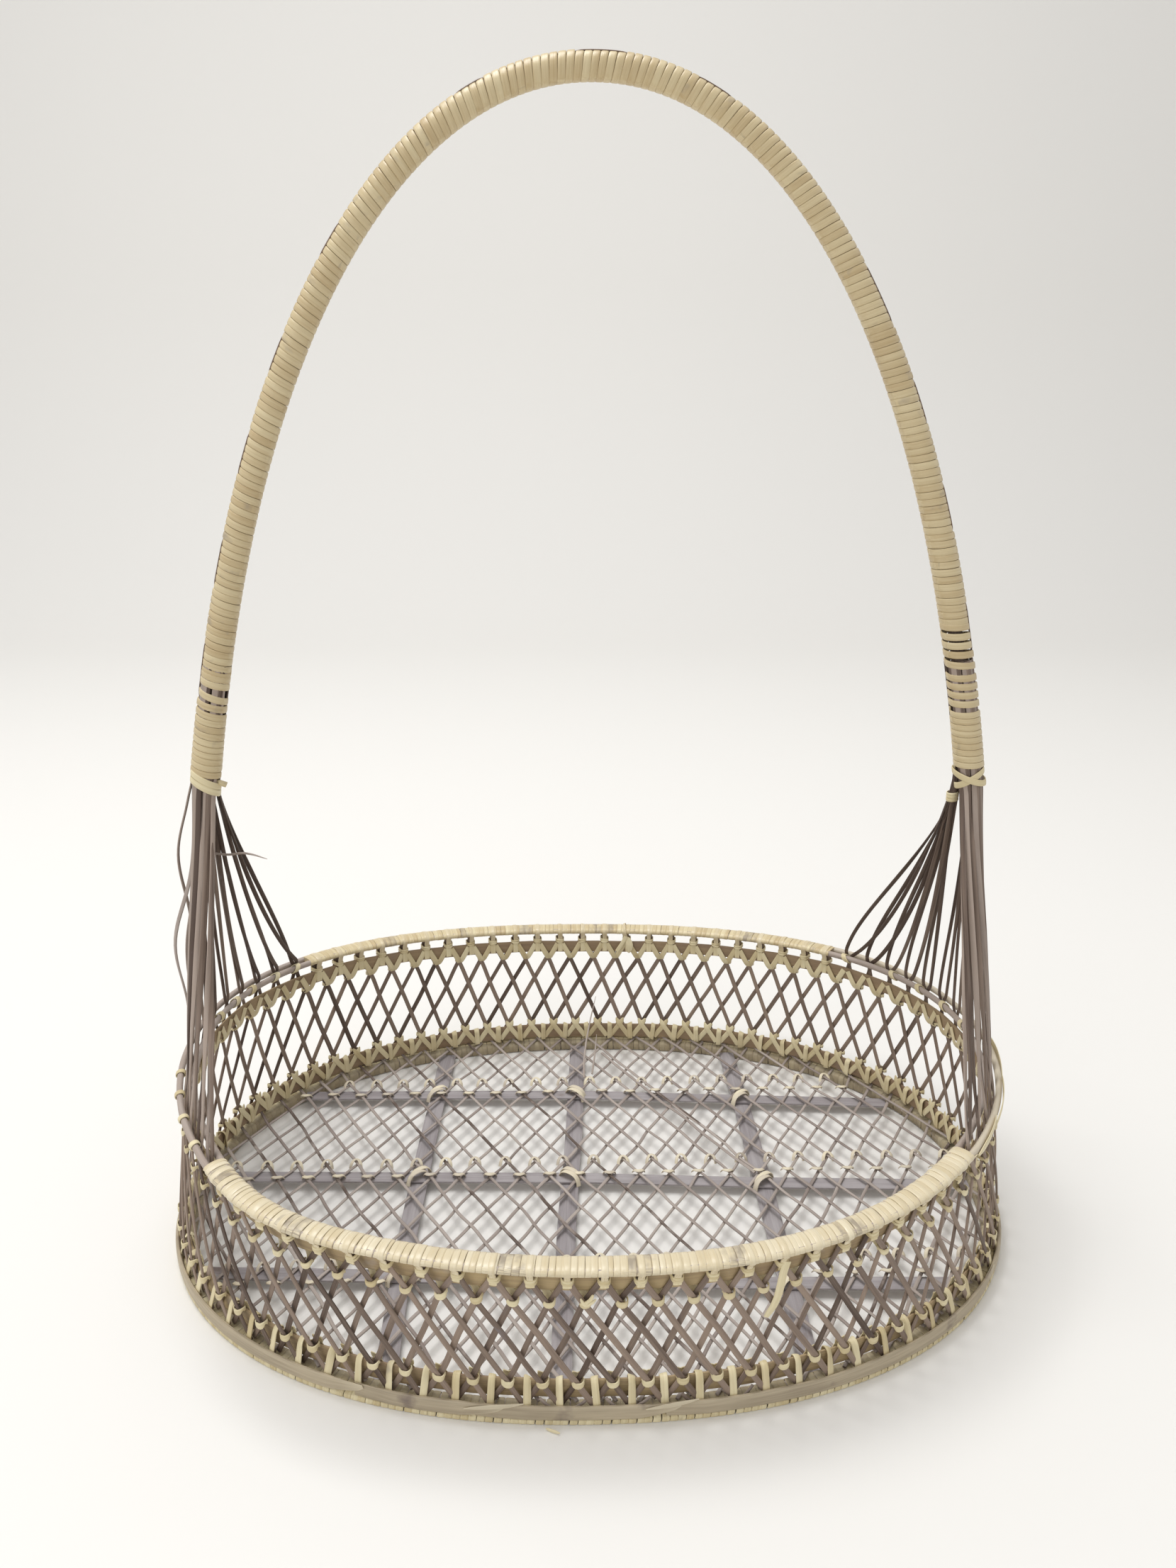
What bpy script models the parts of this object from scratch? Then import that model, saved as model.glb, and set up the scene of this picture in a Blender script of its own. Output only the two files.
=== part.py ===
"""Oval rattan basket with a fixed arch handle, modelled piece by piece.

X runs along the basket, -Y is the front, +Z is up. The origin is on the floor
under the middle of the foot. Lengths are in metres.

Every ring (foot, bands, rim) has the same facets. The stakes of the wall cross
in two layers, and their places along a ring are counted in nodes: node 0 is
the right-hand end, and the count rises anticlockwise seen from above.
"""
import math

import bmesh
import bpy
from mathutils import Vector

# Plan of the basket
FOOT_HALF_LENGTH = 0.2255
FOOT_HALF_WIDTH = 0.1635
RIM_HALF_LENGTH = 0.2142
RIM_HALF_WIDTH = 0.1655
OUTLINE_EXPONENT = 2.2
FACETS = 40
NODES_PER_FACET = 2
NODES = FACETS * NODES_PER_FACET

# Running clearance between pieces that touch
SEAT_GAP = 0.0003

# Split-cane stakes of the wall and fans
STAKE_WIDTH = 0.0030
BASE_STAKE_WIDTH = 0.0024
STAKE_THICKNESS = 0.0012
LAYER_GAP = 0.0008
CANE_THICKNESS = 0.0005

# Foot: wrapped hoop with a smooth strip outside
FOOT_HOOP_WIDTH = 0.0056
FOOT_HOOP_HEIGHT = 0.0056
FOOT_STRIP_THICKNESS = 0.0024
FOOT_STRIP_HEIGHT = 0.0074
FOOT_STRIP_BOTTOM = 0.0026
FOOT_STRIP_BEVEL = 0.0012
FOOT_LIP_INSET = 0.0006
FOOT_EDGE_BEVEL = 0.0008

# Bands that the stakes are laced to
BAND_THICKNESS = 0.0016
LOWER_BAND_HEIGHT = 0.0096
UPPER_BAND_HEIGHT = 0.0078
LACING_WIDTH = 0.0026
LACING_THICKNESS = 0.0006
LACING_REACH = 0.0022

# Rim: two rods with the stakes between them
RIM_HEIGHT = 0.0865
RIM_END_RISE = 0.0095
RIM_LEFT_RISE = 0.0020
RIM_ROD_DIAMETER = 0.0032
RIM_WRAP_BEVEL = 0.0011
RIM_WRAP_END_MARGIN_SHARE = 0.45

# Room between the rim and the lacing of the upper band, and from that band down to the crossings
RIM_LACING_GAP = 0.0012
BAND_TO_CROSSING = 0.0049

# How far a stake travels along the wall, as shares of the pitch between nodes
RIM_STEP_SHARE = 0.5
OUTER_WALL_STEP_SHARE = 1.8
INNER_WALL_STEP_SHARE = 1.2
LEG_STEP_SHARE = 0.5

# Rim nodes whose stakes rise to the handle, counted from each end of the basket
RIGHT_FAN_BACK_NODES = 8
RIGHT_FAN_FRONT_NODES = 7
LEFT_FAN_BACK_NODES = 7
LEFT_FAN_FRONT_NODES = 7

# Base lattice and slats
BASE_SPACING = 0.0171
BASE_SLOPE_SHARE = 0.61
LONG_SLAT_WIDTH = 0.0088
CROSS_SLAT_WIDTH = 0.0102
SLAT_THICKNESS = 0.0016
LONG_SLAT_PLACES = {"back": 0.0880, "middle": 0.0030, "front": -0.0800}
CROSS_SLAT_PLACES = {"left": -0.0965, "middle": -0.0095, "right": 0.0985}
LONG_SLAT_SLOPE_SHARE = -0.048
CROSS_SLAT_SLOPE_SHARE = 0.030
KNOT_ROW_SPACING = 0.0140
KNOT_STRIP_WIDTH = 0.0016
LASHING_LENGTH = 0.0200
LASHING_WIDTH = 0.0032

# Arch handle
HANDLE_SPREAD = 0.2180
HANDLE_TOP_HEIGHT = 0.5627
HANDLE_VIRTUAL_BASE = -0.3000
HANDLE_SIDE_EXPONENT = 2.06
HANDLE_RISE_EXPONENT = 3.31
HANDLE_FOOT_HEIGHT = 0.2410
HANDLE_FOOT_DIAMETER = 0.0146
HANDLE_TOP_DIAMETER = 0.0113
HANDLE_STEPS = 24
COLLAR_STEPS = 2
HANDLE_SIDES = 8
CORE_SIDES = 6
COLLAR_LENGTH = 0.0260
OPEN_TURNS_LENGTH = 0.0240
RUNNER_WIDTH = 0.0022
RUNNER_THICKNESS = 0.0010

# Fans of stakes below the handle
BUNDLE_INNER_RADIUS = 0.0049
BUNDLE_LAYER_GAP = 0.0009
BUNDLE_HALF_ANGLE = math.radians(120)
FAN_TOP_WIDTH_SHARE = 0.4
FAN_MID_SHARE = 0.42
FAN_PULL_ACROSS_SHARE = 0.62
FAN_PULL_UP_SHARE = 0.42
FAN_MID_STEP_SHARE = 0.25

# Ties round the bundle: real windings
TIE_CANE_DIAMETER = 0.0016
TIE_PITCH = 0.0025
TIE_LOOPS = 3
POINTS_PER_LOOP = 20

ROD_SIDES = 5
HOOP_SIDES = 6
MITRE_LIMIT_SHARE = 1.6
OUTLINE_SAMPLES = 2400

# Places derived from the sizes above
LAYER_OFFSET = (STAKE_THICKNESS + LAYER_GAP) / 2
PACK_HALF = LAYER_OFFSET + STAKE_THICKNESS / 2
ROD_OFFSET = PACK_HALF + SEAT_GAP + RIM_ROD_DIAMETER / 2
BAND_FACE_OFFSET = PACK_HALF + SEAT_GAP
RIM_WRAP_HALF_HEIGHT = RIM_ROD_DIAMETER / 2 + SEAT_GAP + CANE_THICKNESS
UPPER_BAND_DROP = (RIM_WRAP_HALF_HEIGHT + RIM_LACING_GAP + LACING_WIDTH / 2 + LACING_REACH
                   + UPPER_BAND_HEIGHT / 2)
UPPER_CROSSING_DROP = UPPER_BAND_DROP + UPPER_BAND_HEIGHT / 2 + BAND_TO_CROSSING
LEG_INSET = FOOT_STRIP_THICKNESS + SEAT_GAP + PACK_HALF
FOOT_WRAP_OUTER_INSET = FOOT_STRIP_THICKNESS + SEAT_GAP
FOOT_WRAP_WIDTH = FOOT_HOOP_WIDTH + 2 * (SEAT_GAP + CANE_THICKNESS)
FOOT_WRAP_INNER_INSET = FOOT_WRAP_OUTER_INSET + FOOT_WRAP_WIDTH
FOOT_WRAP_HEIGHT = CANE_THICKNESS + SEAT_GAP + FOOT_HOOP_HEIGHT
LOWER_BASE_BOTTOM = FOOT_WRAP_HEIGHT + SEAT_GAP
UPPER_BASE_BOTTOM = LOWER_BASE_BOTTOM + STAKE_THICKNESS + SEAT_GAP
BASE_TOP = UPPER_BASE_BOTTOM + STAKE_THICKNESS
LOWER_BAND_BOTTOM = BASE_TOP + SEAT_GAP
LOWER_BAND_TOP = LOWER_BAND_BOTTOM + LOWER_BAND_HEIGHT
LEG_END_HEIGHT = FOOT_WRAP_HEIGHT + SEAT_GAP + STAKE_WIDTH / 2
LONG_SLAT_BOTTOM = LOWER_BASE_BOTTOM - SEAT_GAP - SLAT_THICKNESS
CROSS_SLAT_BOTTOM = LONG_SLAT_BOTTOM - SEAT_GAP - SLAT_THICKNESS
KNOT_BOTTOM = BASE_TOP + SEAT_GAP
LASHING_BOTTOM = KNOT_BOTTOM + LACING_THICKNESS + SEAT_GAP
BASE_END_INSET = LEG_INSET + PACK_HALF + SEAT_GAP + BASE_STAKE_WIDTH
SLAT_END_INSET = FOOT_WRAP_INNER_INSET + SEAT_GAP
BUNDLE_OUTER_RADIUS = BUNDLE_INNER_RADIUS + STAKE_THICKNESS + BUNDLE_LAYER_GAP
TIE_LENGTH = TIE_LOOPS * TIE_PITCH + TIE_CANE_DIAMETER
COLLAR_START = TIE_LENGTH + SEAT_GAP


def clear_scene():
    for thing in list(bpy.data.objects):
        bpy.data.objects.remove(thing, do_unlink=True)


def make_material(name, colour, roughness):
    material = bpy.data.materials.new(name)
    material.use_nodes = True
    shader = material.node_tree.nodes["Principled BSDF"]
    shader.inputs["Base Color"].default_value = (*colour, 1.0)
    shader.inputs["Roughness"].default_value = roughness
    shader.inputs["Metallic"].default_value = 0.0
    return material


def add_object(name, mesh, material):
    mesh.materials.append(material)
    thing = bpy.data.objects.new(name, mesh)
    bpy.context.scene.collection.objects.link(thing)
    return thing


def skin(name, sections, material, closed=False):
    """One closed body through a row of matching sections, capped unless it is a ring."""
    body = bmesh.new()
    rows = [[body.verts.new(point) for point in section] for section in sections]
    count = len(rows[0])
    pairs = list(zip(rows, rows[1:]))
    if closed:
        pairs.append((rows[-1], rows[0]))
    for row, following in pairs:
        for i in range(count):
            j = (i + 1) % count
            body.faces.new((row[i], row[j], following[j], following[i]))
    if not closed:
        body.faces.new(rows[0])
        body.faces.new(rows[-1])
    bmesh.ops.recalc_face_normals(body, faces=body.faces)
    mesh = bpy.data.meshes.new(name)
    body.to_mesh(mesh)
    body.free()
    return add_object(name, mesh, material)


def oval_point(half_length, half_width, angle):
    power = 2 / OUTLINE_EXPONENT
    across = math.copysign(abs(math.cos(angle)) ** power, math.cos(angle))
    deep = math.copysign(abs(math.sin(angle)) ** power, math.sin(angle))
    return Vector((half_length * across, half_width * deep, 0))


def facet_angles():
    """Angles at which the rim outline is cut into facets of equal length."""
    angles = [2 * math.pi * i / OUTLINE_SAMPLES for i in range(OUTLINE_SAMPLES + 1)]
    points = [oval_point(RIM_HALF_LENGTH, RIM_HALF_WIDTH, a) for a in angles]
    travelled = [0.0]
    for start, end in zip(points, points[1:]):
        travelled.append(travelled[-1] + (end - start).length)
    chosen = []
    at = 0
    for i in range(FACETS):
        wanted = travelled[-1] * i / FACETS
        while travelled[at + 1] < wanted:
            at += 1
        part = (wanted - travelled[at]) / (travelled[at + 1] - travelled[at])
        chosen.append(angles[at] + part * (angles[at + 1] - angles[at]))
    return chosen


ANGLES = facet_angles()


def push_out(loop, offset):
    """The same facets moved outwards by an even distance, corners mitred."""
    moved = []
    count = len(loop)
    for i, corner in enumerate(loop):
        before = corner - loop[i - 1]
        after = loop[(i + 1) % count] - corner
        first = Vector((before.y, -before.x, 0)).normalized()
        second = Vector((after.y, -after.x, 0)).normalized()
        mitre = (first + second) / (1 + first.dot(second))
        moved.append(corner + offset * mitre)
    return moved


def foot_loop(inset, height):
    plan = [oval_point(FOOT_HALF_LENGTH, FOOT_HALF_WIDTH, a) for a in ANGLES]
    return [Vector((p.x, p.y, height)) for p in push_out(plan, -inset)]


def rim_height(x):
    along = x / RIM_HALF_LENGTH
    return RIM_HEIGHT + RIM_END_RISE * along * along - RIM_LEFT_RISE * along


LOW_PLAN = foot_loop(LEG_INSET, 0)
RIM_PLAN = [oval_point(RIM_HALF_LENGTH, RIM_HALF_WIDTH, a) for a in ANGLES]
KNOWN_LOOPS = {}


def wall_loop(share, offset=0, rise=0):
    """Corners of the wall at a share of its height, moved out by an offset and up by a rise."""
    key = (share, offset, rise)
    if key not in KNOWN_LOOPS:
        plan = []
        heights = []
        for low, top in zip(LOW_PLAN, RIM_PLAN):
            span = rim_height(top.x) - LOWER_BAND_TOP
            height = LOWER_BAND_TOP + share * span + rise
            part = max((height - LOWER_BAND_TOP) / span, 0)
            plan.append(low.lerp(top, part))
            heights.append(height)
        moved = push_out(plan, offset)
        KNOWN_LOOPS[key] = [Vector((p.x, p.y, h)) for p, h in zip(moved, heights)]
    return KNOWN_LOOPS[key]


def wall_point(node, share, offset=0, rise=0):
    loop = wall_loop(share, offset, rise)
    place = node / NODES_PER_FACET
    corner = math.floor(place)
    return loop[corner % FACETS].lerp(loop[(corner + 1) % FACETS], place - corner)


def wall_normal(node, share, rise=0):
    """Outward direction of the wall, long enough at a corner to keep its facets parallel."""
    reach = STAKE_THICKNESS
    outer = wall_point(node, share, reach, rise)
    inner = wall_point(node, share, -reach, rise)
    return (outer - inner) / (2 * reach)


def wall_lean(node, share, offset, rise):
    """How far the wall moves across for each unit of height."""
    reach = STAKE_WIDTH
    step = (wall_point(node, share, offset, rise + reach)
            - wall_point(node, share, offset, rise - reach)) / (2 * reach)
    return Vector((step.x, step.y, 0))


def strip_sections(route, thickness):
    """Rectangular sections along a route of (point, normal, lean, width), mitred at its bends."""
    sections = []
    last = len(route) - 1
    for i, (point, normal, lean, width) in enumerate(route):
        into = (point - route[max(i - 1, 0)][0]).normalized()
        out = (route[min(i + 1, last)][0] - point).normalized()
        if i == 0:
            into = out
        if i == last:
            out = into
        along = (into + out).normalized()
        stretch = min(1 / max(along.dot(out), 1 / MITRE_LIMIT_SHARE), MITRE_LIMIT_SHARE)
        side = normal.cross(along).normalized() * (width / 2 * stretch)
        side += lean * side.z
        lift = normal * (thickness / 2)
        sections.append([point + side + lift, point - side + lift,
                         point - side - lift, point + side - lift])
    return sections


def with_corners(stops):
    """Adds a stop wherever a stake passes a facet corner between two (node, share, rise) stops."""
    full = [stops[0]]
    for start, end in zip(stops, stops[1:]):
        low, high = sorted((start[0], end[0]))
        corners = [c * NODES_PER_FACET for c in range(math.ceil(low / NODES_PER_FACET),
                                                      math.floor(high / NODES_PER_FACET) + 1)]
        inside = [c for c in corners if low < c < high]
        if end[0] < start[0]:
            inside.reverse()
        for corner in inside:
            part = (corner - start[0]) / (end[0] - start[0])
            full.append((corner, start[1] + part * (end[1] - start[1]),
                         start[2] + part * (end[2] - start[2])))
        full.append(end)
    return full


def wall_route(stops, offset):
    route = []
    for node, share, rise in with_corners(stops):
        route.append((wall_point(node, share, offset, rise), wall_normal(node, share, rise),
                      wall_lean(node, share, offset, rise), STAKE_WIDTH))
    return route


def handle_centre(angle):
    """Point of the handle's centre line; the angle runs from 0, far right, to pi, far left."""
    across = abs(math.cos(angle)) ** (2 / HANDLE_SIDE_EXPONENT)
    up = math.sin(angle) ** (2 / HANDLE_RISE_EXPONENT)
    x = math.copysign(HANDLE_SPREAD * across, math.cos(angle))
    z = HANDLE_VIRTUAL_BASE + (HANDLE_TOP_HEIGHT - HANDLE_VIRTUAL_BASE) * up
    return Vector((x, 0, z))


def handle_angle_at(height):
    up = (height - HANDLE_VIRTUAL_BASE) / (HANDLE_TOP_HEIGHT - HANDLE_VIRTUAL_BASE)
    return math.asin(up ** (HANDLE_RISE_EXPONENT / 2))


def handle_line():
    """Centre line from the right foot over the top to the left foot, in even steps."""
    start = handle_angle_at(HANDLE_FOOT_HEIGHT)
    angles = [start + (math.pi - 2 * start) * i / OUTLINE_SAMPLES
              for i in range(OUTLINE_SAMPLES + 1)]
    points = [handle_centre(a) for a in angles]
    travelled = [0.0]
    for first, second in zip(points, points[1:]):
        travelled.append(travelled[-1] + (second - first).length)
    return points, travelled


HANDLE_POINTS, HANDLE_TRAVEL = handle_line()
HANDLE_LENGTH = HANDLE_TRAVEL[-1]


def handle_at(distance):
    """Centre, outward direction and outer radius at a distance along the handle."""
    share = min(max(distance / HANDLE_LENGTH, 0), 1)
    low = 0
    high = len(HANDLE_TRAVEL) - 1
    while high - low > 1:
        middle = (low + high) // 2
        if HANDLE_TRAVEL[middle] <= share * HANDLE_LENGTH:
            low = middle
        else:
            high = middle
    along = (HANDLE_POINTS[high] - HANDLE_POINTS[low]).normalized()
    part = (share * HANDLE_LENGTH - HANDLE_TRAVEL[low]) / (HANDLE_TRAVEL[high] - HANDLE_TRAVEL[low])
    centre = HANDLE_POINTS[low].lerp(HANDLE_POINTS[high], part)
    outward = Vector((along.z, 0, -along.x))
    top_share = math.sin(math.pi * share)
    diameter = HANDLE_FOOT_DIAMETER + (HANDLE_TOP_DIAMETER - HANDLE_FOOT_DIAMETER) * top_share
    return centre, outward, diameter / 2


def ring_section(centre, outward, radius, sides):
    """Round section square to the handle."""
    across = Vector((0, 1, 0))
    return [centre + radius * (math.cos(a) * outward + math.sin(a) * across)
            for a in (2 * math.pi * i / sides for i in range(sides))]


def core_radius(radius):
    """Radius of the core that the flat sides of the wrap leave room for."""
    return (radius - CANE_THICKNESS) * math.cos(math.pi / HANDLE_SIDES) - SEAT_GAP


def evenly(first, last, steps):
    return [first + (last - first) * i / steps for i in range(steps + 1)]


def build_foot(hoop_material, cane_material, strip_material):
    middle_inset = FOOT_WRAP_OUTER_INSET + FOOT_WRAP_WIDTH / 2
    middle_height = CANE_THICKNESS + SEAT_GAP + FOOT_HOOP_HEIGHT / 2
    loops = []
    for i in range(HOOP_SIDES):
        turn = 2 * math.pi * i / HOOP_SIDES
        loops.append(foot_loop(middle_inset + FOOT_HOOP_WIDTH / 2 * math.cos(turn),
                               middle_height + FOOT_HOOP_HEIGHT / 2 * math.sin(turn)))
    hoop = [list(section) for section in zip(*loops)]
    skin("foot_hoop", hoop, hoop_material, closed=True)

    rebate = FOOT_STRIP_BOTTOM - SEAT_GAP
    inner_wall = FOOT_WRAP_INNER_INSET - CANE_THICKNESS
    outer_wall = FOOT_WRAP_OUTER_INSET + CANE_THICKNESS
    profile = [
        (FOOT_WRAP_INNER_INSET, FOOT_WRAP_HEIGHT),
        (FOOT_WRAP_INNER_INSET, FOOT_EDGE_BEVEL),
        (FOOT_WRAP_INNER_INSET - FOOT_EDGE_BEVEL, 0),
        (FOOT_LIP_INSET + FOOT_EDGE_BEVEL, 0),
        (FOOT_LIP_INSET, FOOT_EDGE_BEVEL),
        (FOOT_LIP_INSET, rebate),
        (FOOT_WRAP_OUTER_INSET, rebate),
        (FOOT_WRAP_OUTER_INSET, FOOT_WRAP_HEIGHT),
        (outer_wall, FOOT_WRAP_HEIGHT),
        (outer_wall, CANE_THICKNESS),
        (inner_wall, CANE_THICKNESS),
        (inner_wall, FOOT_WRAP_HEIGHT),
    ]
    sections = zip(*[foot_loop(inset, height) for inset, height in profile])
    skin("foot_wrap", [list(s) for s in sections], cane_material, closed=True)

    strip_top = FOOT_STRIP_BOTTOM + FOOT_STRIP_HEIGHT
    profile = [
        (FOOT_STRIP_THICKNESS, FOOT_STRIP_BOTTOM),
        (FOOT_STRIP_BEVEL, FOOT_STRIP_BOTTOM),
        (0, FOOT_STRIP_BOTTOM + FOOT_STRIP_BEVEL),
        (0, strip_top - FOOT_STRIP_BEVEL),
        (FOOT_STRIP_BEVEL, strip_top),
        (FOOT_STRIP_THICKNESS, strip_top),
    ]
    sections = zip(*[foot_loop(inset, height) for inset, height in profile])
    skin("foot_strip", [list(s) for s in sections], strip_material, closed=True)


def build_bands(material):
    outer = -BAND_FACE_OFFSET
    inner = outer - BAND_THICKNESS
    low_profile = [(outer, -LOWER_BAND_HEIGHT), (outer, 0), (inner, 0), (inner, -LOWER_BAND_HEIGHT)]
    loops = [wall_loop(0, offset, rise) for offset, rise in low_profile]
    skin("lower_band", [list(s) for s in zip(*loops)], material, closed=True)
    top = UPPER_BAND_HEIGHT / 2 - UPPER_BAND_DROP
    foot = top - UPPER_BAND_HEIGHT
    high_profile = [(outer, foot), (outer, top), (inner, top), (inner, foot)]
    loops = [wall_loop(1, offset, rise) for offset, rise in high_profile]
    skin("upper_band", [list(s) for s in zip(*loops)], material, closed=True)


def build_lacings(material):
    """Zigzag cane over each band: over the stake crossings above it and down between them."""
    offset = -(BAND_FACE_OFFSET + BAND_THICKNESS + SEAT_GAP + LACING_THICKNESS / 2)
    reach = UPPER_BAND_HEIGHT / 2 + LACING_REACH
    low_crossing = -RIM_STEP_SHARE - INNER_WALL_STEP_SHARE
    plans = (
        ("upper_lacing", 0, RIM_STEP_SHARE, 1, reach - UPPER_BAND_DROP, -reach - UPPER_BAND_DROP),
        ("lower_lacing", low_crossing, LEG_STEP_SHARE, 0, LACING_REACH,
         LACING_WIDTH / 2 - LOWER_BAND_HEIGHT),
    )
    for name, first, step, share, high, low in plans:
        route = []
        for node in range(NODES):
            for place, rise in ((node + first, high), (node + first + step, low)):
                leaning = wall_point(place, share, offset, rise)
                upright = wall_point(place, share, offset)
                upright.z = leaning.z
                point = min(leaning, upright, key=lambda p: p.xy.length) if share == 0 else leaning
                route.append((point, wall_normal(place, share, rise)))
        sections = []
        for point, normal in route:
            side = Vector((0, 0, LACING_WIDTH / 2))
            lift = normal * (LACING_THICKNESS / 2)
            sections.append([point + side - lift, point - side - lift, point + lift])
        skin(name, sections, material, closed=True)


def build_rim(rod_material, cane_material):
    radius = RIM_ROD_DIAMETER / 2
    for name, centre in (("rim_rod_inner", -ROD_OFFSET), ("rim_rod_outer", ROD_OFFSET)):
        loops = []
        for i in range(ROD_SIDES):
            turn = 2 * math.pi * i / ROD_SIDES + math.pi / 2
            loops.append(wall_loop(1, centre + radius * math.cos(turn), radius * math.sin(turn)))
        skin(name, [list(s) for s in zip(*loops)], rod_material, closed=True)

    inner_half = ROD_OFFSET + radius + SEAT_GAP
    outer_half = inner_half + CANE_THICKNESS
    inner_top = radius + SEAT_GAP
    outer_top = inner_top + CANE_THICKNESS
    slot = PACK_HALF + SEAT_GAP
    bevel = RIM_WRAP_BEVEL
    half_profile = [(slot, -outer_top), (outer_half - bevel, -outer_top),
                    (outer_half, -outer_top + bevel), (outer_half, outer_top - bevel),
                    (outer_half - bevel, outer_top)]
    inner_profile = [(slot, -inner_top), (inner_half - bevel, -inner_top),
                     (inner_half, -inner_top + bevel), (inner_half, inner_top - bevel),
                     (inner_half - bevel, inner_top)]
    mirrored = [(-a, b) for a, b in reversed(half_profile)]
    inner_mirrored = [(-a, b) for a, b in reversed(inner_profile)]
    profile = half_profile + mirrored + list(reversed(inner_profile + inner_mirrored))
    half_nodes = NODES / 2
    arcs = {
        "rim_wrap_back": (RIGHT_FAN_BACK_NODES, half_nodes - LEFT_FAN_BACK_NODES),
        "rim_wrap_front": (half_nodes + LEFT_FAN_FRONT_NODES, NODES - RIGHT_FAN_FRONT_NODES),
    }
    for name, (first, last) in arcs.items():
        margin = RIM_WRAP_END_MARGIN_SHARE
        stops = with_corners([(first + margin, 1, 0), (last - margin, 1, 0)])
        sections = [[wall_point(node, 1, offset, rise) for offset, rise in profile]
                    for node, share, drop in stops]
        skin(name, sections, cane_material)


def handle_foot(side):
    """Frame of the bundle under the handle: centre, outward and downward directions."""
    centre, outward, radius = handle_at(0 if side > 0 else HANDLE_LENGTH)
    down = Vector((outward.z, 0, -outward.x)) if side > 0 else Vector((-outward.z, 0, outward.x))
    return centre + down * SEAT_GAP, outward, down


def fan_stops(node, fan_centre, side, layer):
    """Points, normals and widths of one stake from the rim up to the bundle."""
    offset = LAYER_OFFSET * layer
    exit_rise = RIM_ROD_DIAMETER / 2 + SEAT_GAP
    foot, outward, down = handle_foot(side)
    widest = max(RIGHT_FAN_BACK_NODES, RIGHT_FAN_FRONT_NODES,
                 LEFT_FAN_BACK_NODES, LEFT_FAN_FRONT_NODES)
    radius = BUNDLE_OUTER_RADIUS if layer > 0 else BUNDLE_INNER_RADIUS
    top_width = STAKE_WIDTH * FAN_TOP_WIDTH_SHARE

    def bundle(place):
        turn = BUNDLE_HALF_ANGLE * side * (place - fan_centre) / widest
        spoke = math.cos(turn) * outward + math.sin(turn) * Vector((0, 1, 0))
        return foot + radius * spoke + down * (top_width / 2), spoke

    start = wall_point(node, 1, offset, exit_rise)
    normal = wall_normal(node, 1)
    stops = [(start, normal, wall_lean(node, 1, offset, exit_rise), STAKE_WIDTH)]
    place = node + FAN_MID_STEP_SHARE * layer * math.copysign(1, node - fan_centre)
    low = wall_point(place, 1, offset, exit_rise)
    top, spoke = bundle(place)
    pull = low.lerp(top, FAN_PULL_ACROSS_SHARE)
    pull.z = low.z + (top.z - low.z) * FAN_PULL_UP_SHARE
    v = FAN_MID_SHARE
    middle = (1 - v) ** 2 * low + 2 * v * (1 - v) * pull + v * v * top
    middle_normal = normal.lerp(spoke, v).normalized()
    stops.append((middle, middle_normal, Vector(), STAKE_WIDTH))
    top, spoke = bundle(node)
    stops.append((top, spoke, Vector(), top_width))
    return stops


def stake_route(node, layer, fan_centre=None, side=0):
    """One stake from the foot to the rim, and on to the bundle where it belongs to a fan."""
    wall_step = OUTER_WALL_STEP_SHARE if layer > 0 else INNER_WALL_STEP_SHARE
    crossing = node + layer * RIM_STEP_SHARE
    low = crossing + layer * wall_step
    foot = low + layer * LEG_STEP_SHARE
    drop = LEG_END_HEIGHT - LOWER_BAND_TOP
    stops = [(foot, 0, drop), (low, 0, 0), (crossing, 1, -UPPER_CROSSING_DROP), (node, 1, 0)]
    route = wall_route(stops, LAYER_OFFSET * layer)
    if fan_centre is not None:
        route += fan_stops(node, fan_centre, side, layer)
    return route


def link_route(first, second, layer, at_foot):
    """Corner points that a hidden link passes between two neighbouring stakes."""
    if not at_foot:
        return []
    wall_step = OUTER_WALL_STEP_SHARE if layer > 0 else INNER_WALL_STEP_SHARE
    shift = layer * (RIM_STEP_SHARE + wall_step + LEG_STEP_SHARE)
    drop = LEG_END_HEIGHT - LOWER_BAND_TOP
    stops = with_corners([(first + shift, 0, drop), (second + shift, 0, drop)])
    return wall_route(stops, LAYER_OFFSET * layer)[1:-1]


def build_stakes(material):
    """Stakes in eight groups. Neighbours in a group are joined end to end where it is hidden."""
    half = NODES // 2
    groups = (
        ("right", range(-RIGHT_FAN_FRONT_NODES, RIGHT_FAN_BACK_NODES + 1), 0, 1),
        ("back", range(RIGHT_FAN_BACK_NODES + 1, half - LEFT_FAN_BACK_NODES), None, 0),
        ("left", range(half - LEFT_FAN_BACK_NODES, half + LEFT_FAN_FRONT_NODES + 1), half, -1),
        ("front", range(half + LEFT_FAN_FRONT_NODES + 1, NODES - RIGHT_FAN_FRONT_NODES), None, 0),
    )
    for group, nodes, fan_centre, side in groups:
        for layer_name, layer in (("outer", 1), ("inner", -1)):
            whole = []
            upwards = True
            previous = None
            for node in nodes:
                route = stake_route(node, layer, fan_centre, side)
                if previous is not None:
                    whole += link_route(previous, node, layer, at_foot=upwards)
                whole += route if upwards else list(reversed(route))
                previous = node
                upwards = not upwards
            sections = strip_sections(whole, STAKE_THICKNESS)
            skin(f"stakes_{group}_{layer_name}", sections, material)


def crossings_with_loop(loop, origin, direction):
    """Distances along a line at which it meets the facets of a loop."""
    found = []
    for i, start in enumerate(loop):
        end = loop[(i + 1) % len(loop)]
        edge = end - start
        across = direction.x * edge.y - direction.y * edge.x
        if across == 0:
            continue
        gap = start - origin
        share = (gap.x * direction.y - gap.y * direction.x) / across
        if 0 <= share < 1:
            found.append(((gap.x * edge.y - gap.y * edge.x) / across, i + share))
    return sorted(found)


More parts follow.
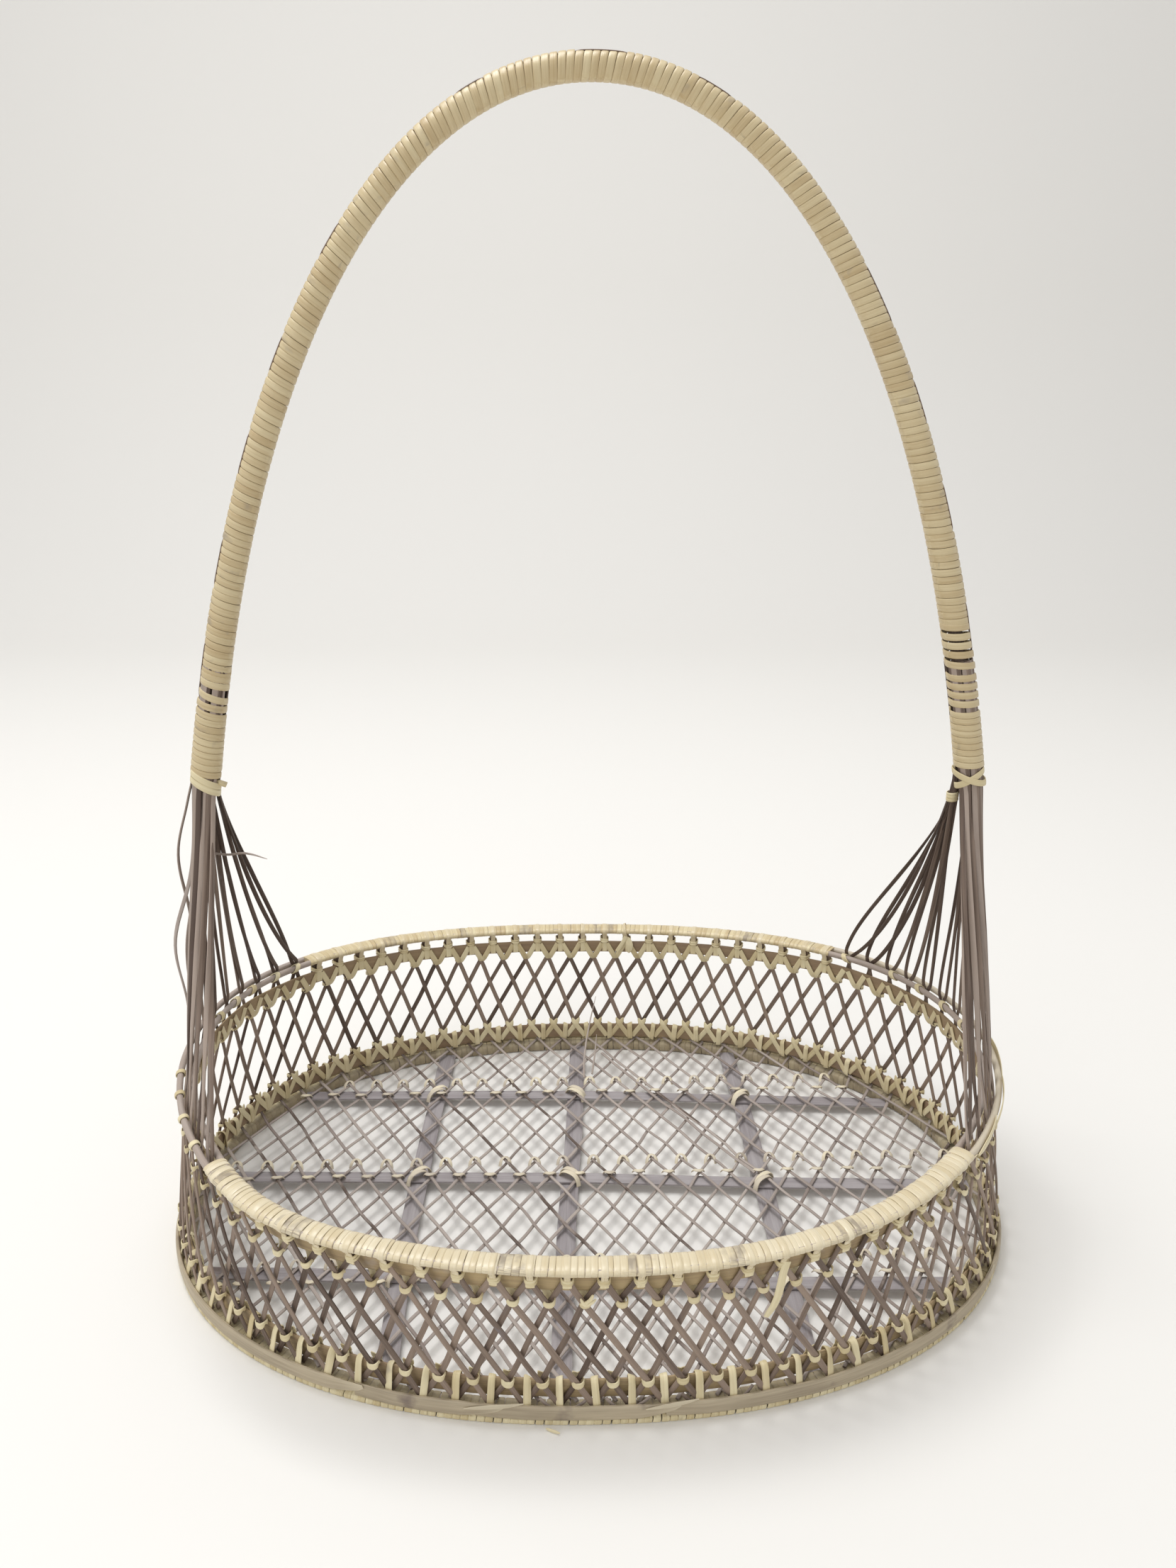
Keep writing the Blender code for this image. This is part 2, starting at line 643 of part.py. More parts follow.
def loop_between(loop, start, end):
    """Corners of a loop between two places on it, the short way round."""
    count = len(loop)
    forward = (end - start) % count
    if forward <= count / 2:
        corners = range(math.floor(start) + 1, math.floor(start + forward) + 1)
    else:
        corners = range(math.floor(start), math.floor(start - (count - forward)), -1)
    return [loop[c % count] for c in corners]


def build_base(material):
    """Two layers of straight stakes that cross, joined end to end under the lower band."""
    loop = foot_loop(BASE_END_INSET, 0)
    up = Vector((0, 0, 1))
    reach = FOOT_HALF_LENGTH + FOOT_HALF_WIDTH
    count = math.floor(reach / BASE_SPACING)
    layers = (("base_stakes_upper", -1, UPPER_BASE_BOTTOM), ("base_stakes_lower", 1, LOWER_BASE_BOTTOM))
    for name, lean, bottom in layers:
        direction = Vector((lean * BASE_SLOPE_SHARE, 1, 0)).normalized()
        lift = up * (bottom + STAKE_THICKNESS / 2)
        whole = []
        upwards = True
        previous = None
        for i in range(-count, count + 1):
            origin = Vector(((i + 1 / 2) * BASE_SPACING, 0, 0))
            met = crossings_with_loop(loop, origin, direction)
            if len(met) < 2 or met[-1][0] - met[0][0] < BASE_SPACING:
                continue
            ends = [(origin + direction * distance, place) for distance, place in (met[0], met[-1])]
            if not upwards:
                ends.reverse()
            if previous is not None:
                whole += [(corner + lift, up, Vector(), BASE_STAKE_WIDTH)
                          for corner in loop_between(loop, previous, ends[0][1])]
            whole += [(point + lift, up, Vector(), BASE_STAKE_WIDTH) for point, place in ends]
            previous = ends[1][1]
            upwards = not upwards
        sections = strip_sections(whole, STAKE_THICKNESS)
        skin(name, sections, material)


def slat_corners(centre, direction, width, loop):
    """Plan of a slat whose ends follow the inside of the foot."""
    across = Vector((-direction.y, direction.x, 0)) * (width / 2)
    edges = []
    for side in (-1, 1):
        origin = centre + side * across
        met = crossings_with_loop(loop, origin, direction)
        edges.append((origin + direction * met[0][0], origin + direction * met[-1][0]))
    (a, b), (c, d) = edges
    return [a, b, d, c]


def build_slats(material):
    loop = foot_loop(SLAT_END_INSET, 0)
    along = Vector((1, LONG_SLAT_SLOPE_SHARE, 0)).normalized()
    across = Vector((CROSS_SLAT_SLOPE_SHARE, 1, 0)).normalized()
    plans = [(f"long_slat_{name}", Vector((0, place, 0)), along, LONG_SLAT_WIDTH, LONG_SLAT_BOTTOM)
             for name, place in LONG_SLAT_PLACES.items()]
    plans += [(f"cross_slat_{name}", Vector((place, 0, 0)), across, CROSS_SLAT_WIDTH,
               CROSS_SLAT_BOTTOM) for name, place in CROSS_SLAT_PLACES.items()]
    for name, centre, direction, width, bottom in plans:
        plan = slat_corners(centre, direction, width, loop)
        low = [Vector((p.x, p.y, bottom)) for p in plan]
        high = [Vector((p.x, p.y, bottom + SLAT_THICKNESS)) for p in plan]
        skin(name, [low, high], material)


def build_slat_knots(material):
    """Cane that ties the base stakes down along both edges of each long slat."""
    loop = foot_loop(BASE_END_INSET + LONG_SLAT_WIDTH, 0)
    up = Vector((0, 0, 1))
    along = Vector((1, LONG_SLAT_SLOPE_SHARE, 0))
    for name, place in LONG_SLAT_PLACES.items():
        centre = Vector((0, place, KNOT_BOTTOM + LACING_THICKNESS / 2))
        met = crossings_with_loop(loop, centre, along)
        first = math.ceil(met[0][0] / BASE_SPACING * 2)
        last = math.floor(met[-1][0] / BASE_SPACING * 2)
        route = []
        for i in range(first, last + 1):
            side = 1 if i % 2 else -1
            point = centre + along * (i * BASE_SPACING / 2)
            point.y += side * KNOT_ROW_SPACING / 2
            route.append((point, up, Vector(), KNOT_STRIP_WIDTH))
        skin(f"slat_knots_{name}", strip_sections(route, LACING_THICKNESS), material)


def build_lashings(material):
    """Short straps over the places where a long slat lies on a cross slat."""
    up = Vector((0, 0, 1))
    for long_name, place in LONG_SLAT_PLACES.items():
        for cross_name, position in CROSS_SLAT_PLACES.items():
            x = position + CROSS_SLAT_SLOPE_SHARE * place
            y = place + LONG_SLAT_SLOPE_SHARE * x
            centre = Vector((x, y, LASHING_BOTTOM + LACING_THICKNESS / 2))
            reach = Vector((1, -1, 0)).normalized() * (LASHING_LENGTH / 2)
            route = [(centre - reach, up, Vector(), LASHING_WIDTH),
                     (centre + reach, up, Vector(), LASHING_WIDTH)]
            sections = strip_sections(route, LACING_THICKNESS)
            skin(f"lashing_{long_name}_{cross_name}", sections, material)


def tube_round_handle(name, first, last, steps, outer_extra, inner_extra, sides, material):
    """A sleeve along the handle: an outer skin and a bore, closed at both ends."""
    outer = []
    inner = []
    for distance in evenly(first, last, steps):
        centre, outward, radius = handle_at(distance)
        outer.append(ring_section(centre, outward, radius + outer_extra, sides))
        inner.append(ring_section(centre, outward, radius + inner_extra, sides))
    body = bmesh.new()
    rows = [[body.verts.new(p) for p in section] for section in outer + list(reversed(inner))]
    for row, following in zip(rows, rows[1:] + rows[:1]):
        for i in range(sides):
            j = (i + 1) % sides
            body.faces.new((row[i], row[j], following[j], following[i]))
    bmesh.ops.recalc_face_normals(body, faces=body.faces)
    mesh = bpy.data.meshes.new(name)
    body.to_mesh(mesh)
    body.free()
    return add_object(name, mesh, material)


def build_handle(core_material, cane_material, runner_material):
    collar_end = COLLAR_START + COLLAR_LENGTH
    wrap_start = collar_end + OPEN_TURNS_LENGTH
    wrap_end = HANDLE_LENGTH - wrap_start
    first_part = [0] + evenly(COLLAR_START, collar_end, COLLAR_STEPS)
    last_part = [HANDLE_LENGTH - distance for distance in reversed(first_part)]
    sections = []
    for distance in first_part + evenly(wrap_start, wrap_end, HANDLE_STEPS) + last_part:
        centre, outward, radius = handle_at(distance)
        sections.append(ring_section(centre, outward, core_radius(radius), CORE_SIDES))
    skin("handle_core", sections, core_material)

    tube_round_handle("handle_wrap", wrap_start, wrap_end, HANDLE_STEPS, 0, -CANE_THICKNESS,
                      HANDLE_SIDES, cane_material)
    tube_round_handle("handle_collar_right", COLLAR_START, collar_end, COLLAR_STEPS, 0,
                      -CANE_THICKNESS, HANDLE_SIDES, cane_material)
    tube_round_handle("handle_collar_left", HANDLE_LENGTH - collar_end,
                      HANDLE_LENGTH - COLLAR_START, COLLAR_STEPS, 0,
                      -CANE_THICKNESS, HANDLE_SIDES, cane_material)

    route = []
    for distance in evenly(wrap_start, wrap_end, HANDLE_STEPS):
        centre, outward, radius = handle_at(distance)
        lift = radius + SEAT_GAP + RUNNER_THICKNESS / 2
        route.append((centre + outward * lift, outward, Vector(), RUNNER_WIDTH))
    skin("handle_runner", strip_sections(route, RUNNER_THICKNESS), runner_material)


def build_ties(material):
    """The winding that ends the handle at each foot, as one unbroken length of cane."""
    for name, side in (("handle_tie_right", 1), ("handle_tie_left", -1)):
        points = []
        for i in range(TIE_LOOPS * POINTS_PER_LOOP + 1):
            turn = 2 * math.pi * i / POINTS_PER_LOOP
            travel = TIE_CANE_DIAMETER / 2 + TIE_PITCH * i / POINTS_PER_LOOP
            centre, outward, radius = handle_at(travel if side > 0 else HANDLE_LENGTH - travel)
            spoke = math.cos(turn) * outward + math.sin(turn) * Vector((0, 1, 0))
            points.append(centre + (core_radius(radius) + SEAT_GAP + TIE_CANE_DIAMETER / 2) * spoke)
        curve = bpy.data.curves.new(name, "CURVE")
        curve.dimensions = "3D"
        curve.bevel_depth = TIE_CANE_DIAMETER / 2
        curve.bevel_resolution = 1
        curve.use_fill_caps = True
        spline = curve.splines.new("POLY")
        spline.points.add(len(points) - 1)
        for slot, point in zip(spline.points, points):
            slot.co = (*point, 1.0)
        least = min((points[i] - points[j]).length
                    for i in range(len(points))
                    for j in range(i + POINTS_PER_LOOP // 2, len(points))) - TIE_CANE_DIAMETER
        print(f"{name}: least gap to itself {least * 1000:.2f} mm")
        curve.materials.append(material)
        bpy.context.scene.collection.objects.link(bpy.data.objects.new(name, curve))


def main():
    clear_scene()
    rod = make_material("weathered rattan rod", (0.33, 0.27, 0.21), 0.65)
    stake = make_material("split cane stake", (0.30, 0.23, 0.18), 0.6)
    base = make_material("grey base cane", (0.36, 0.31, 0.28), 0.7)
    slat = make_material("pale slat", (0.50, 0.46, 0.43), 0.75)
    pale = make_material("pale lacing cane", (0.70, 0.63, 0.40), 0.5)
    cream = make_material("cream rim cane", (0.76, 0.69, 0.48), 0.45)
    tan = make_material("tan handle cane", (0.62, 0.50, 0.31), 0.45)
    strip = make_material("smooth foot strip", (0.52, 0.48, 0.37), 0.55)
    dark = make_material("dark runner cane", (0.20, 0.15, 0.12), 0.6)
    build_foot(rod, pale, strip)
    build_bands(rod)
    build_lacings(pale)
    build_rim(rod, cream)
    build_stakes(stake)
    build_base(base)
    build_slats(slat)
    build_slat_knots(pale)
    build_lashings(pale)
    build_handle(stake, tan, dark)
    build_ties(tan)


main()
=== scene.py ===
"""Rattan basket with a fixed arch handle: every cane, band and winding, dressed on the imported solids."""

import math

import bpy
import numpy as np
from bpy.props import FloatProperty, FloatVectorProperty, IntProperty, PointerProperty
from bpy.types import Operator, Panel, PropertyGroup
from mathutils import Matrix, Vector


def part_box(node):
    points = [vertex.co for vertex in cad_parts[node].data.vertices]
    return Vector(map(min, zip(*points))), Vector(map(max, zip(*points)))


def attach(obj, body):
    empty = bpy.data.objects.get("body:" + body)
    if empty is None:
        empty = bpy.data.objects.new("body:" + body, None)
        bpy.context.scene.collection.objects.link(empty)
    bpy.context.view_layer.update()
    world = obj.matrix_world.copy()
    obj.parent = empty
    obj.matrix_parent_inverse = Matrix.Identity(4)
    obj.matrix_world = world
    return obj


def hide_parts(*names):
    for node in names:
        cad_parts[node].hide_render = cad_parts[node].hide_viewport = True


bl_info = {
    "name": "Rattan basket",
    "version": (1, 0, 0),
    "blender": (4, 5, 0),
    "location": "View3D > Sidebar > Basket",
    "description": "Weaves the canes, bands and windings of an oval basket with an arch handle",
    "category": "Object",
}

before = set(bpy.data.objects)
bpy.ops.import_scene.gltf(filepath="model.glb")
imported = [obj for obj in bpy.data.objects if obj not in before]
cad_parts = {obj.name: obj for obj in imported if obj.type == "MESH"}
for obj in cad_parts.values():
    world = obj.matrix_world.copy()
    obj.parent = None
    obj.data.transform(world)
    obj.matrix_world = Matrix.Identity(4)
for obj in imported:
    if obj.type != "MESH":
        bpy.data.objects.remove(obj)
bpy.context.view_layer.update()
MM = 0.001
UP = np.array([0, 0, 1.0])
TO_BACK = np.array([0, 1.0, 0])

# Rings of the basket, half length and half width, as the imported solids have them
NODES = 80
OUTLINE_EXPONENT = 2.2
OUTLINE_SAMPLES = 3600
FOOT_HALF = (225.5 * MM, 163.5 * MM)
LOW_HALF = (221.2 * MM, 159.2 * MM)
RIM_HALF = (214.2 * MM, 165.5 * MM)
RIM_HEIGHT = 86.5 * MM
RIM_END_RISE = 9.5 * MM
RIM_LEFT_RISE = 2.0 * MM

# Levels up the wall
LOWER_BAND_BOTTOM = float(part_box("lower_band")[0][2])
LOWER_BAND_TOP = float(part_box("lower_band")[1][2])
FOOT_WINDING_TOP = float(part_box("foot_wrap")[1][2])
FOOT_STRIP_BOTTOM = float(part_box("foot_strip")[0][2])
FOOT_STRIP_TOP = float(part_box("foot_strip")[1][2])
LOWER_CROSSING = LOWER_BAND_TOP + 0.8 * MM
LEG_END = FOOT_WINDING_TOP + 1.2 * MM
UPPER_BAND_DROP = 11.0 * MM
UPPER_BAND_HEIGHT = 7.8 * MM
COLLAR_DROP = 7.2 * MM
UPPER_CROSSING_DROP = 19.8 * MM
LAYER_OFFSET = 1.0 * MM
BAND_OFFSET = -2.7 * MM
ROD_OFFSET = 3.5 * MM

# How far a cane travels round the wall between its crossings, in nodes
TOP_STEP = 0.5
OUTER_STEP = 1.8
INNER_STEP = 1.2
LEG_STEP = 0.5
LOWER_CROSSING_SHIFT = 0.3
LEG_CROSSING_SHIFT = 0.8

# Rim nodes whose canes rise to the handle, first and last, and where the rim's winding begins and ends
RIGHT_FAN = (-7, 8)
LEFT_FAN = (33, 47)
BACK_WINDING = (8.9, 32.5)
FRONT_WINDING = (47.5, 72.7)

# Arch of the handle
HANDLE_SPREAD = 218.0 * MM
HANDLE_TOP = 562.7 * MM
HANDLE_BASE = -300.0 * MM
HANDLE_SIDE_EXPONENT = 2.06
HANDLE_RISE_EXPONENT = 3.31
HANDLE_FOOT_HEIGHT = 241.0 * MM
HANDLE_SAMPLES = 4000

# Base lattice: a crossing that fixes its place, and the run of its canes
LATTICE_CROSSING = (-82.9 * MM, 100.9 * MM)
LATTICE_SLOPE = 0.61
LOWER_LAYER_HEIGHT = 7.3 * MM
UPPER_LAYER_HEIGHT = 8.8 * MM
BASE_REACH_INSET = 5.2 * MM


def size(name, description, default):
    """A length that a user may change."""
    return FloatProperty(name=name, description=description, default=default, min=0.0, unit="LENGTH",
                         precision=5)


def linear(channel):
    """Linear value of an 8-bit display channel."""
    share = channel / 255
    return share / 12.92 if share <= 0.04045 else ((share + 0.055) / 1.055) ** 2.4


def colour(name, description, display):
    """A colour that a user may change, given as 8-bit display values."""
    default = tuple(linear(channel) for channel in display)
    return FloatVectorProperty(name=name, description=description, default=default, size=3, min=0.0, max=1.0,
                               subtype="COLOR")


class BasketSizes(PropertyGroup):
    """Sizes of the canes and windings."""

    wall_cane_width: size("Wall cane width", "Width of the flat canes of the wall and the fans", 2.8 * MM)
    wall_cane_thickness: size("Wall cane thickness", "Thickness of the wall canes", 1.2 * MM)
    base_cane_width: size("Base cane width", "Width of the canes of the base", 1.8 * MM)
    base_cane_thickness: size("Base cane thickness", "Thickness of the base canes", 1.1 * MM)
    base_spacing: size("Base spacing", "Distance between base canes, along the basket", 17.1 * MM)
    band_thickness: size("Band thickness", "Thickness of both bands", 1.3 * MM)
    rim_turn: size("Rim turn", "Width of one turn of the rim's winding", 3.0 * MM)
    rim_half_width: size("Rim half width", "Half the width of the wound rim", 5.7 * MM)
    rim_half_height: size("Rim half height", "Half the height of the wound rim", 2.4 * MM)
    strap_width: size("Strap width", "Width of the lacing straps", 3.0 * MM)
    strap_thickness: size("Strap thickness", "Thickness of the lacing straps", 0.6 * MM)
    foot_turn: size("Foot turn", "Width of one turn of the foot's winding", 3.7 * MM)
    handle_turn: size("Handle turn", "Width of one turn of the handle's winding", 3.45 * MM)
    handle_foot_diameter: size("Handle foot diameter", "Thickness of the handle where it starts", 14.6 * MM)
    handle_top_diameter: size("Handle top diameter", "Thickness of the handle at its top", 11.9 * MM)
    runner_width: size("Runner width", "Width of the dark cane along the handle", 2.2 * MM)
    slat_thickness: size("Slat thickness", "Thickness of the flat slats under the base", 1.6 * MM)
    long_slat_width: size("Long slat width", "Width of the three long slats", 8.8 * MM)
    cross_slat_width: size("Cross slat width", "Width of the three cross slats", 10.2 * MM)
    seed: IntProperty(name="Seed", description="Start of the small irregularities", default=80, min=0)


class BasketColours(PropertyGroup):
    """Colours of the canes and windings."""

    rim: colour("Rim cane", "Pale glossy cane wound round the rim", (228, 217, 190))
    rim_deep: colour("Rim cane, deep", "Darker streaks of the rim's cane", (194, 174, 132))
    rim_stain: colour("Rim stain", "Grey weathering of the rim's cane", (150, 138, 122))
    lacing: colour("Lacing", "Cane of the straps and ties", (228, 216, 179))
    lacing_deep: colour("Lacing, deep", "Darker streaks of the lacing", (194, 175, 130))
    handle: colour("Handle cane", "Cane wound round the handle", (212, 196, 158))
    handle_deep: colour("Handle cane, deep", "Darker streaks of the handle's cane", (178, 153, 110))
    wall: colour("Wall cane", "Brown-grey canes of the wall", (154, 135, 120))
    # wall_deep is also what the painted shade of the back fan canes darkens toward
    wall_deep: colour("Wall cane, deep", "Dark streaks and dark canes of the wall", (80, 64, 54))
    base: colour("Base cane", "Grey-brown canes of the base", (176, 165, 157))
    base_deep: colour("Base cane, deep", "Dark streaks of the base canes", (118, 104, 98))
    slat: colour("Slat", "Pale mauve-grey slats", (168, 162, 163))
    slat_deep: colour("Slat, deep", "Grain and smudges of the slats", (126, 118, 120))
    band: colour("Band", "Tan face of the bands", (190, 168, 126))
    band_deep: colour("Band, deep", "Brown inner face and grain of the bands", (124, 100, 83))
    foot: colour("Foot strip", "Grey-beige strip round the foot", (190, 176, 150))
    # foot_deep is also the painted shade on the inner side of the foot winding's turns
    foot_deep: colour("Foot strip, deep", "Grain and dirt of the foot strip", (140, 126, 106))
    runner: colour("Runner", "Dark cane along the handle", (118, 96, 80))
    floor: colour("Floor", "Plain pale floor and backdrop", (236, 234, 230))


def sizes():
    """The sizes in use."""
    return bpy.context.scene.basket_sizes


def tint(name):
    """One colour in use, with full alpha."""
    return (*getattr(bpy.context.scene.basket_colours, name), 1.0)


class Wire:
    """A number socket of a shader: sums on wires add their Math nodes."""

    def __init__(self, finish, socket):
        self.finish = finish
        self.socket = socket

    def _sum(self, operation, first, second):
        return self.finish.node("ShaderNodeMath", {"operation": operation}, {0: first, 1: second})

    def __add__(self, other):
        return self._sum("ADD", self, other)

    def __sub__(self, other):
        return self._sum("SUBTRACT", self, other)

    def __rsub__(self, other):
        return self._sum("SUBTRACT", other, self)

    def __mul__(self, other):
        return self._sum("MULTIPLY", self, other)

    __radd__ = __add__
    __rmul__ = __mul__

    def limited(self):
        """The value held between 0 and 1."""
        return self.finish.node("ShaderNodeClamp", {}, {"Value": self})


class Nodes:
    """A node tree and the few ways in which this script adds to it."""

    def __init__(self, tree):
        self.tree = tree
        tree.nodes.clear()

    def node(self, kind, settings, inputs, output=0):
        """Adds a node, sets it, feeds its sockets and returns one of its outputs."""
        node = self.tree.nodes.new(kind)
        for key, value in settings.items():
            setattr(node, key, value)
        for key, value in inputs.items():
            if isinstance(value, Wire):
                self.tree.links.new(value.socket, node.inputs[key])
            else:
                node.inputs[key].default_value = value
        return Wire(self, node.outputs[output]) if node.outputs else None

    def vector(self, x, y, z):
        """A vector of three numbers."""
        return self.node("ShaderNodeCombineXYZ", {}, {0: x, 1: y, 2: z})

    def noise(self, vector, scale=1.0, detail=2.0, roughness=0.5):
        """Smooth noise at a vector."""
        values = {"Vector": vector, "Scale": scale, "Detail": detail, "Roughness": roughness}
        return self.node("ShaderNodeTexNoise", {}, values)

    def mix(self, factor, first, second):
        """A colour between two colours."""
        return self.node("ShaderNodeMix", {"data_type": "RGBA"}, {0: factor, 6: first, 7: second}, 2)


CANE_RELIEF = 0.2 * MM


def cane_finish(name, pale, deep, stain, fresh_and_shade_colour, roughness=0.5, grain=1.0, tone_weight=0.5,
                contrast=1.0):
    """Cane or splint: fibres along it, a tone of its own, weathered patches and fresh ends; on some pieces
    the tone and the fresh colour carry painted shade.
    """
    material = bpy.data.materials.new(name)
    material.use_nodes = True
    coat = Nodes(material.node_tree)
    shade = coat.node("ShaderNodeAttribute", {"attribute_name": "Shade"}, {})
    tone = coat.node("ShaderNodeSeparateColor", {}, {0: shade}, 0)
    stained = Wire(coat, tone.socket.node.outputs[1])
    raw_and_painted_shade = Wire(coat, tone.socket.node.outputs[2])
    place = coat.node("ShaderNodeUVMap", {"uv_map": "Cane"}, {})
    along = coat.node("ShaderNodeSeparateXYZ", {}, {0: place}, 0)
    across = Wire(coat, along.socket.node.outputs[1])
    fibre = coat.noise(coat.vector(along * 55.0, across * 3000.0 * grain, tone * 31.0), detail=3.0)
    streak = coat.noise(coat.vector(along * 14.0, across * 900.0 * grain, tone * 57.0), detail=2.0)
    patch = coat.noise(coat.vector(along * 70.0, across * 90.0, tone * 83.0), detail=3.0, roughness=0.6)
    cloud = coat.noise(coat.vector(along * 18.0, across * 30.0, tone * 19.0 + 7.0), detail=2.0)
    mottle = (fibre - 0.5) * 0.7 + (streak - 0.5) * 0.9 + (cloud - 0.5)
    depth = (tone - 0.5) * tone_weight + 0.36 + mottle * contrast
    base = coat.mix(depth.limited(), tint(pale), tint(deep))
    weather = ((patch + stained * 0.7 - 0.86) * 5.0).limited()
    weathered = coat.mix(weather * 0.85, base, tint(stain))
    finished = coat.mix((raw_and_painted_shade + (patch - 0.5) * raw_and_painted_shade).limited(), weathered, tint(fresh_and_shade_colour))
    height = fibre * 0.5 + streak * 0.35 + patch * 0.15
    bump = coat.node("ShaderNodeBump", {}, {"Strength": 0.5, "Distance": CANE_RELIEF, "Height": height})
    dullness = (fibre * 0.25 + weather * 0.15 + roughness - 0.12).limited()
    values = {"Base Color": finished, "Roughness": dullness, "Normal": bump, "Specular IOR Level": 0.45}
    shader = coat.node("ShaderNodeBsdfPrincipled", {}, values)
    coat.node("ShaderNodeOutputMaterial", {}, {0: shader})
    return material


# Finishes: pale, deep, stained and fresh colour (on the foot winding the fresh colour is painted shade), then
# roughness, fineness of grain, weight of tone, contrast
FINISHES = {
    "rim": ("rim", "rim_deep", "rim_stain", "rim", 0.28, 1.0, 0.35, 0.6),
    # Back winding: a darker, more golden copy of the rim's cane, as painted shade
    "rim_in_painted_shade": ("lacing", "handle_deep", "rim_stain", "rim", 0.34, 1.0, 0.4, 0.7),
    "lacing": ("lacing", "lacing_deep", "rim_stain", "rim", 0.42, 1.0, 0.6, 0.9),
    "knot": ("rim", "base", "base_deep", "rim", 0.6, 1.0, 0.6, 1.0),
    "handle": ("handle", "handle_deep", "rim_stain", "rim", 0.36, 1.0, 0.4, 0.9),
    "wall": ("wall", "wall_deep", "slat_deep", "base", 0.6, 0.8, 1.1, 0.8),
    "base": ("base", "base_deep", "wall_deep", "rim", 0.68, 0.8, 0.5, 1.0),
    "slat": ("slat", "slat_deep", "base_deep", "slat", 0.72, 0.35, 0.2, 1.2),
    "band": ("band", "band_deep", "base", "band_deep", 0.6, 0.5, 0.9, 1.0),
    "foot": ("foot", "foot_deep", "base_deep", "rim", 0.5, 0.5, 0.25, 1.2),
    # The foot winding's fresh colour paints shade on the inner side of its turns
    "foot_winding": ("lacing", "lacing_deep", "foot_deep", "foot_deep", 0.6, 1.0, 0.6, 1.0),
    "splinter": ("base", "wall", "base_deep", "rim", 0.6, 0.8, 0.6, 1.0),
    "rod": ("base", "wall", "lacing", "rim", 0.6, 0.6, 0.4, 1.0),
    "runner": ("runner", "wall_deep", "wall_deep", "wall", 0.5, 0.8, 0.4, 1.0),
}
_made = {}


def finish(name):
    """A finish by name, made when it is first used."""
    if name not in _made:
        _made[name] = cane_finish("cane_" + name, *FINISHES[name])
    return _made[name]


def running(values):
    """Running total of values, from zero."""
    return np.concatenate([[0], np.cumsum(values)])


def travel_along(points, scale=1.0):
    """Distance along a line to each of its points, with its axes scaled."""
    return running(np.linalg.norm(np.diff(points, axis=0) * scale, axis=1))


def between(place, travel, points):
    """Points at places along a line."""
    return np.stack([np.interp(place, travel, points[:, axis]) for axis in range(points.shape[1])], -1)


def raised(level, height):
    """Level points lifted to their heights."""
    return np.concatenate([level, np.broadcast_to(height, level.shape[:-1])[..., None]], -1)


def rounded(angle, exponent):
    """Both coordinates, at angles, of a rounded square of half size one."""
    across = np.sign(np.cos(angle)) * np.abs(np.cos(angle)) ** (2 / exponent)
    along = np.sign(np.sin(angle)) * np.abs(np.sin(angle)) ** (2 / exponent)
    return across, along


def section(points, exponent):
    """Closed outline of a cane's section, in half widths and half thicknesses."""
    return np.stack(rounded((np.arange(points) + 0.5) * 2 * np.pi / points, exponent), 1)


def crown(*edge):
    """Outline with a flat underside and a crowned top, from the points up its right half."""
    right = np.array(edge, float)
    return np.concatenate([right, right[::-1] * [-1, 1]])


ROUND = section(8, 2.0)
OVAL = section(10, 2.5)
SPLINT = section(12, 5.0)
STRIP = section(14, 2.8)
CROWNED = crown((1, -0.9), (1, 0.1), (0.88, 0.62), (0.5, 0.94))
FLUSH = crown((1, -0.9), (1, 0.3), (0.93, 0.72), (0.6, 0.98))


def unit(vectors):
    """Vectors scaled to length one."""
    return vectors / np.maximum(np.linalg.norm(vectors, axis=-1, keepdims=True), 1e-12)


def rectangles(left, right, low, high):
    """The four corners of each face in a UV map."""
    sides = ((left, low), (right, low), (right, high), (left, high))
    return np.stack([np.stack(corner, 1) for corner in sides], 1)


# Share of a chart's cell that a cane's sides fill; its two ends lie in what is left
CHART_LENGTH = 0.93
CHART_HEIGHT = 0.94
CHART_MARGIN = 0.03


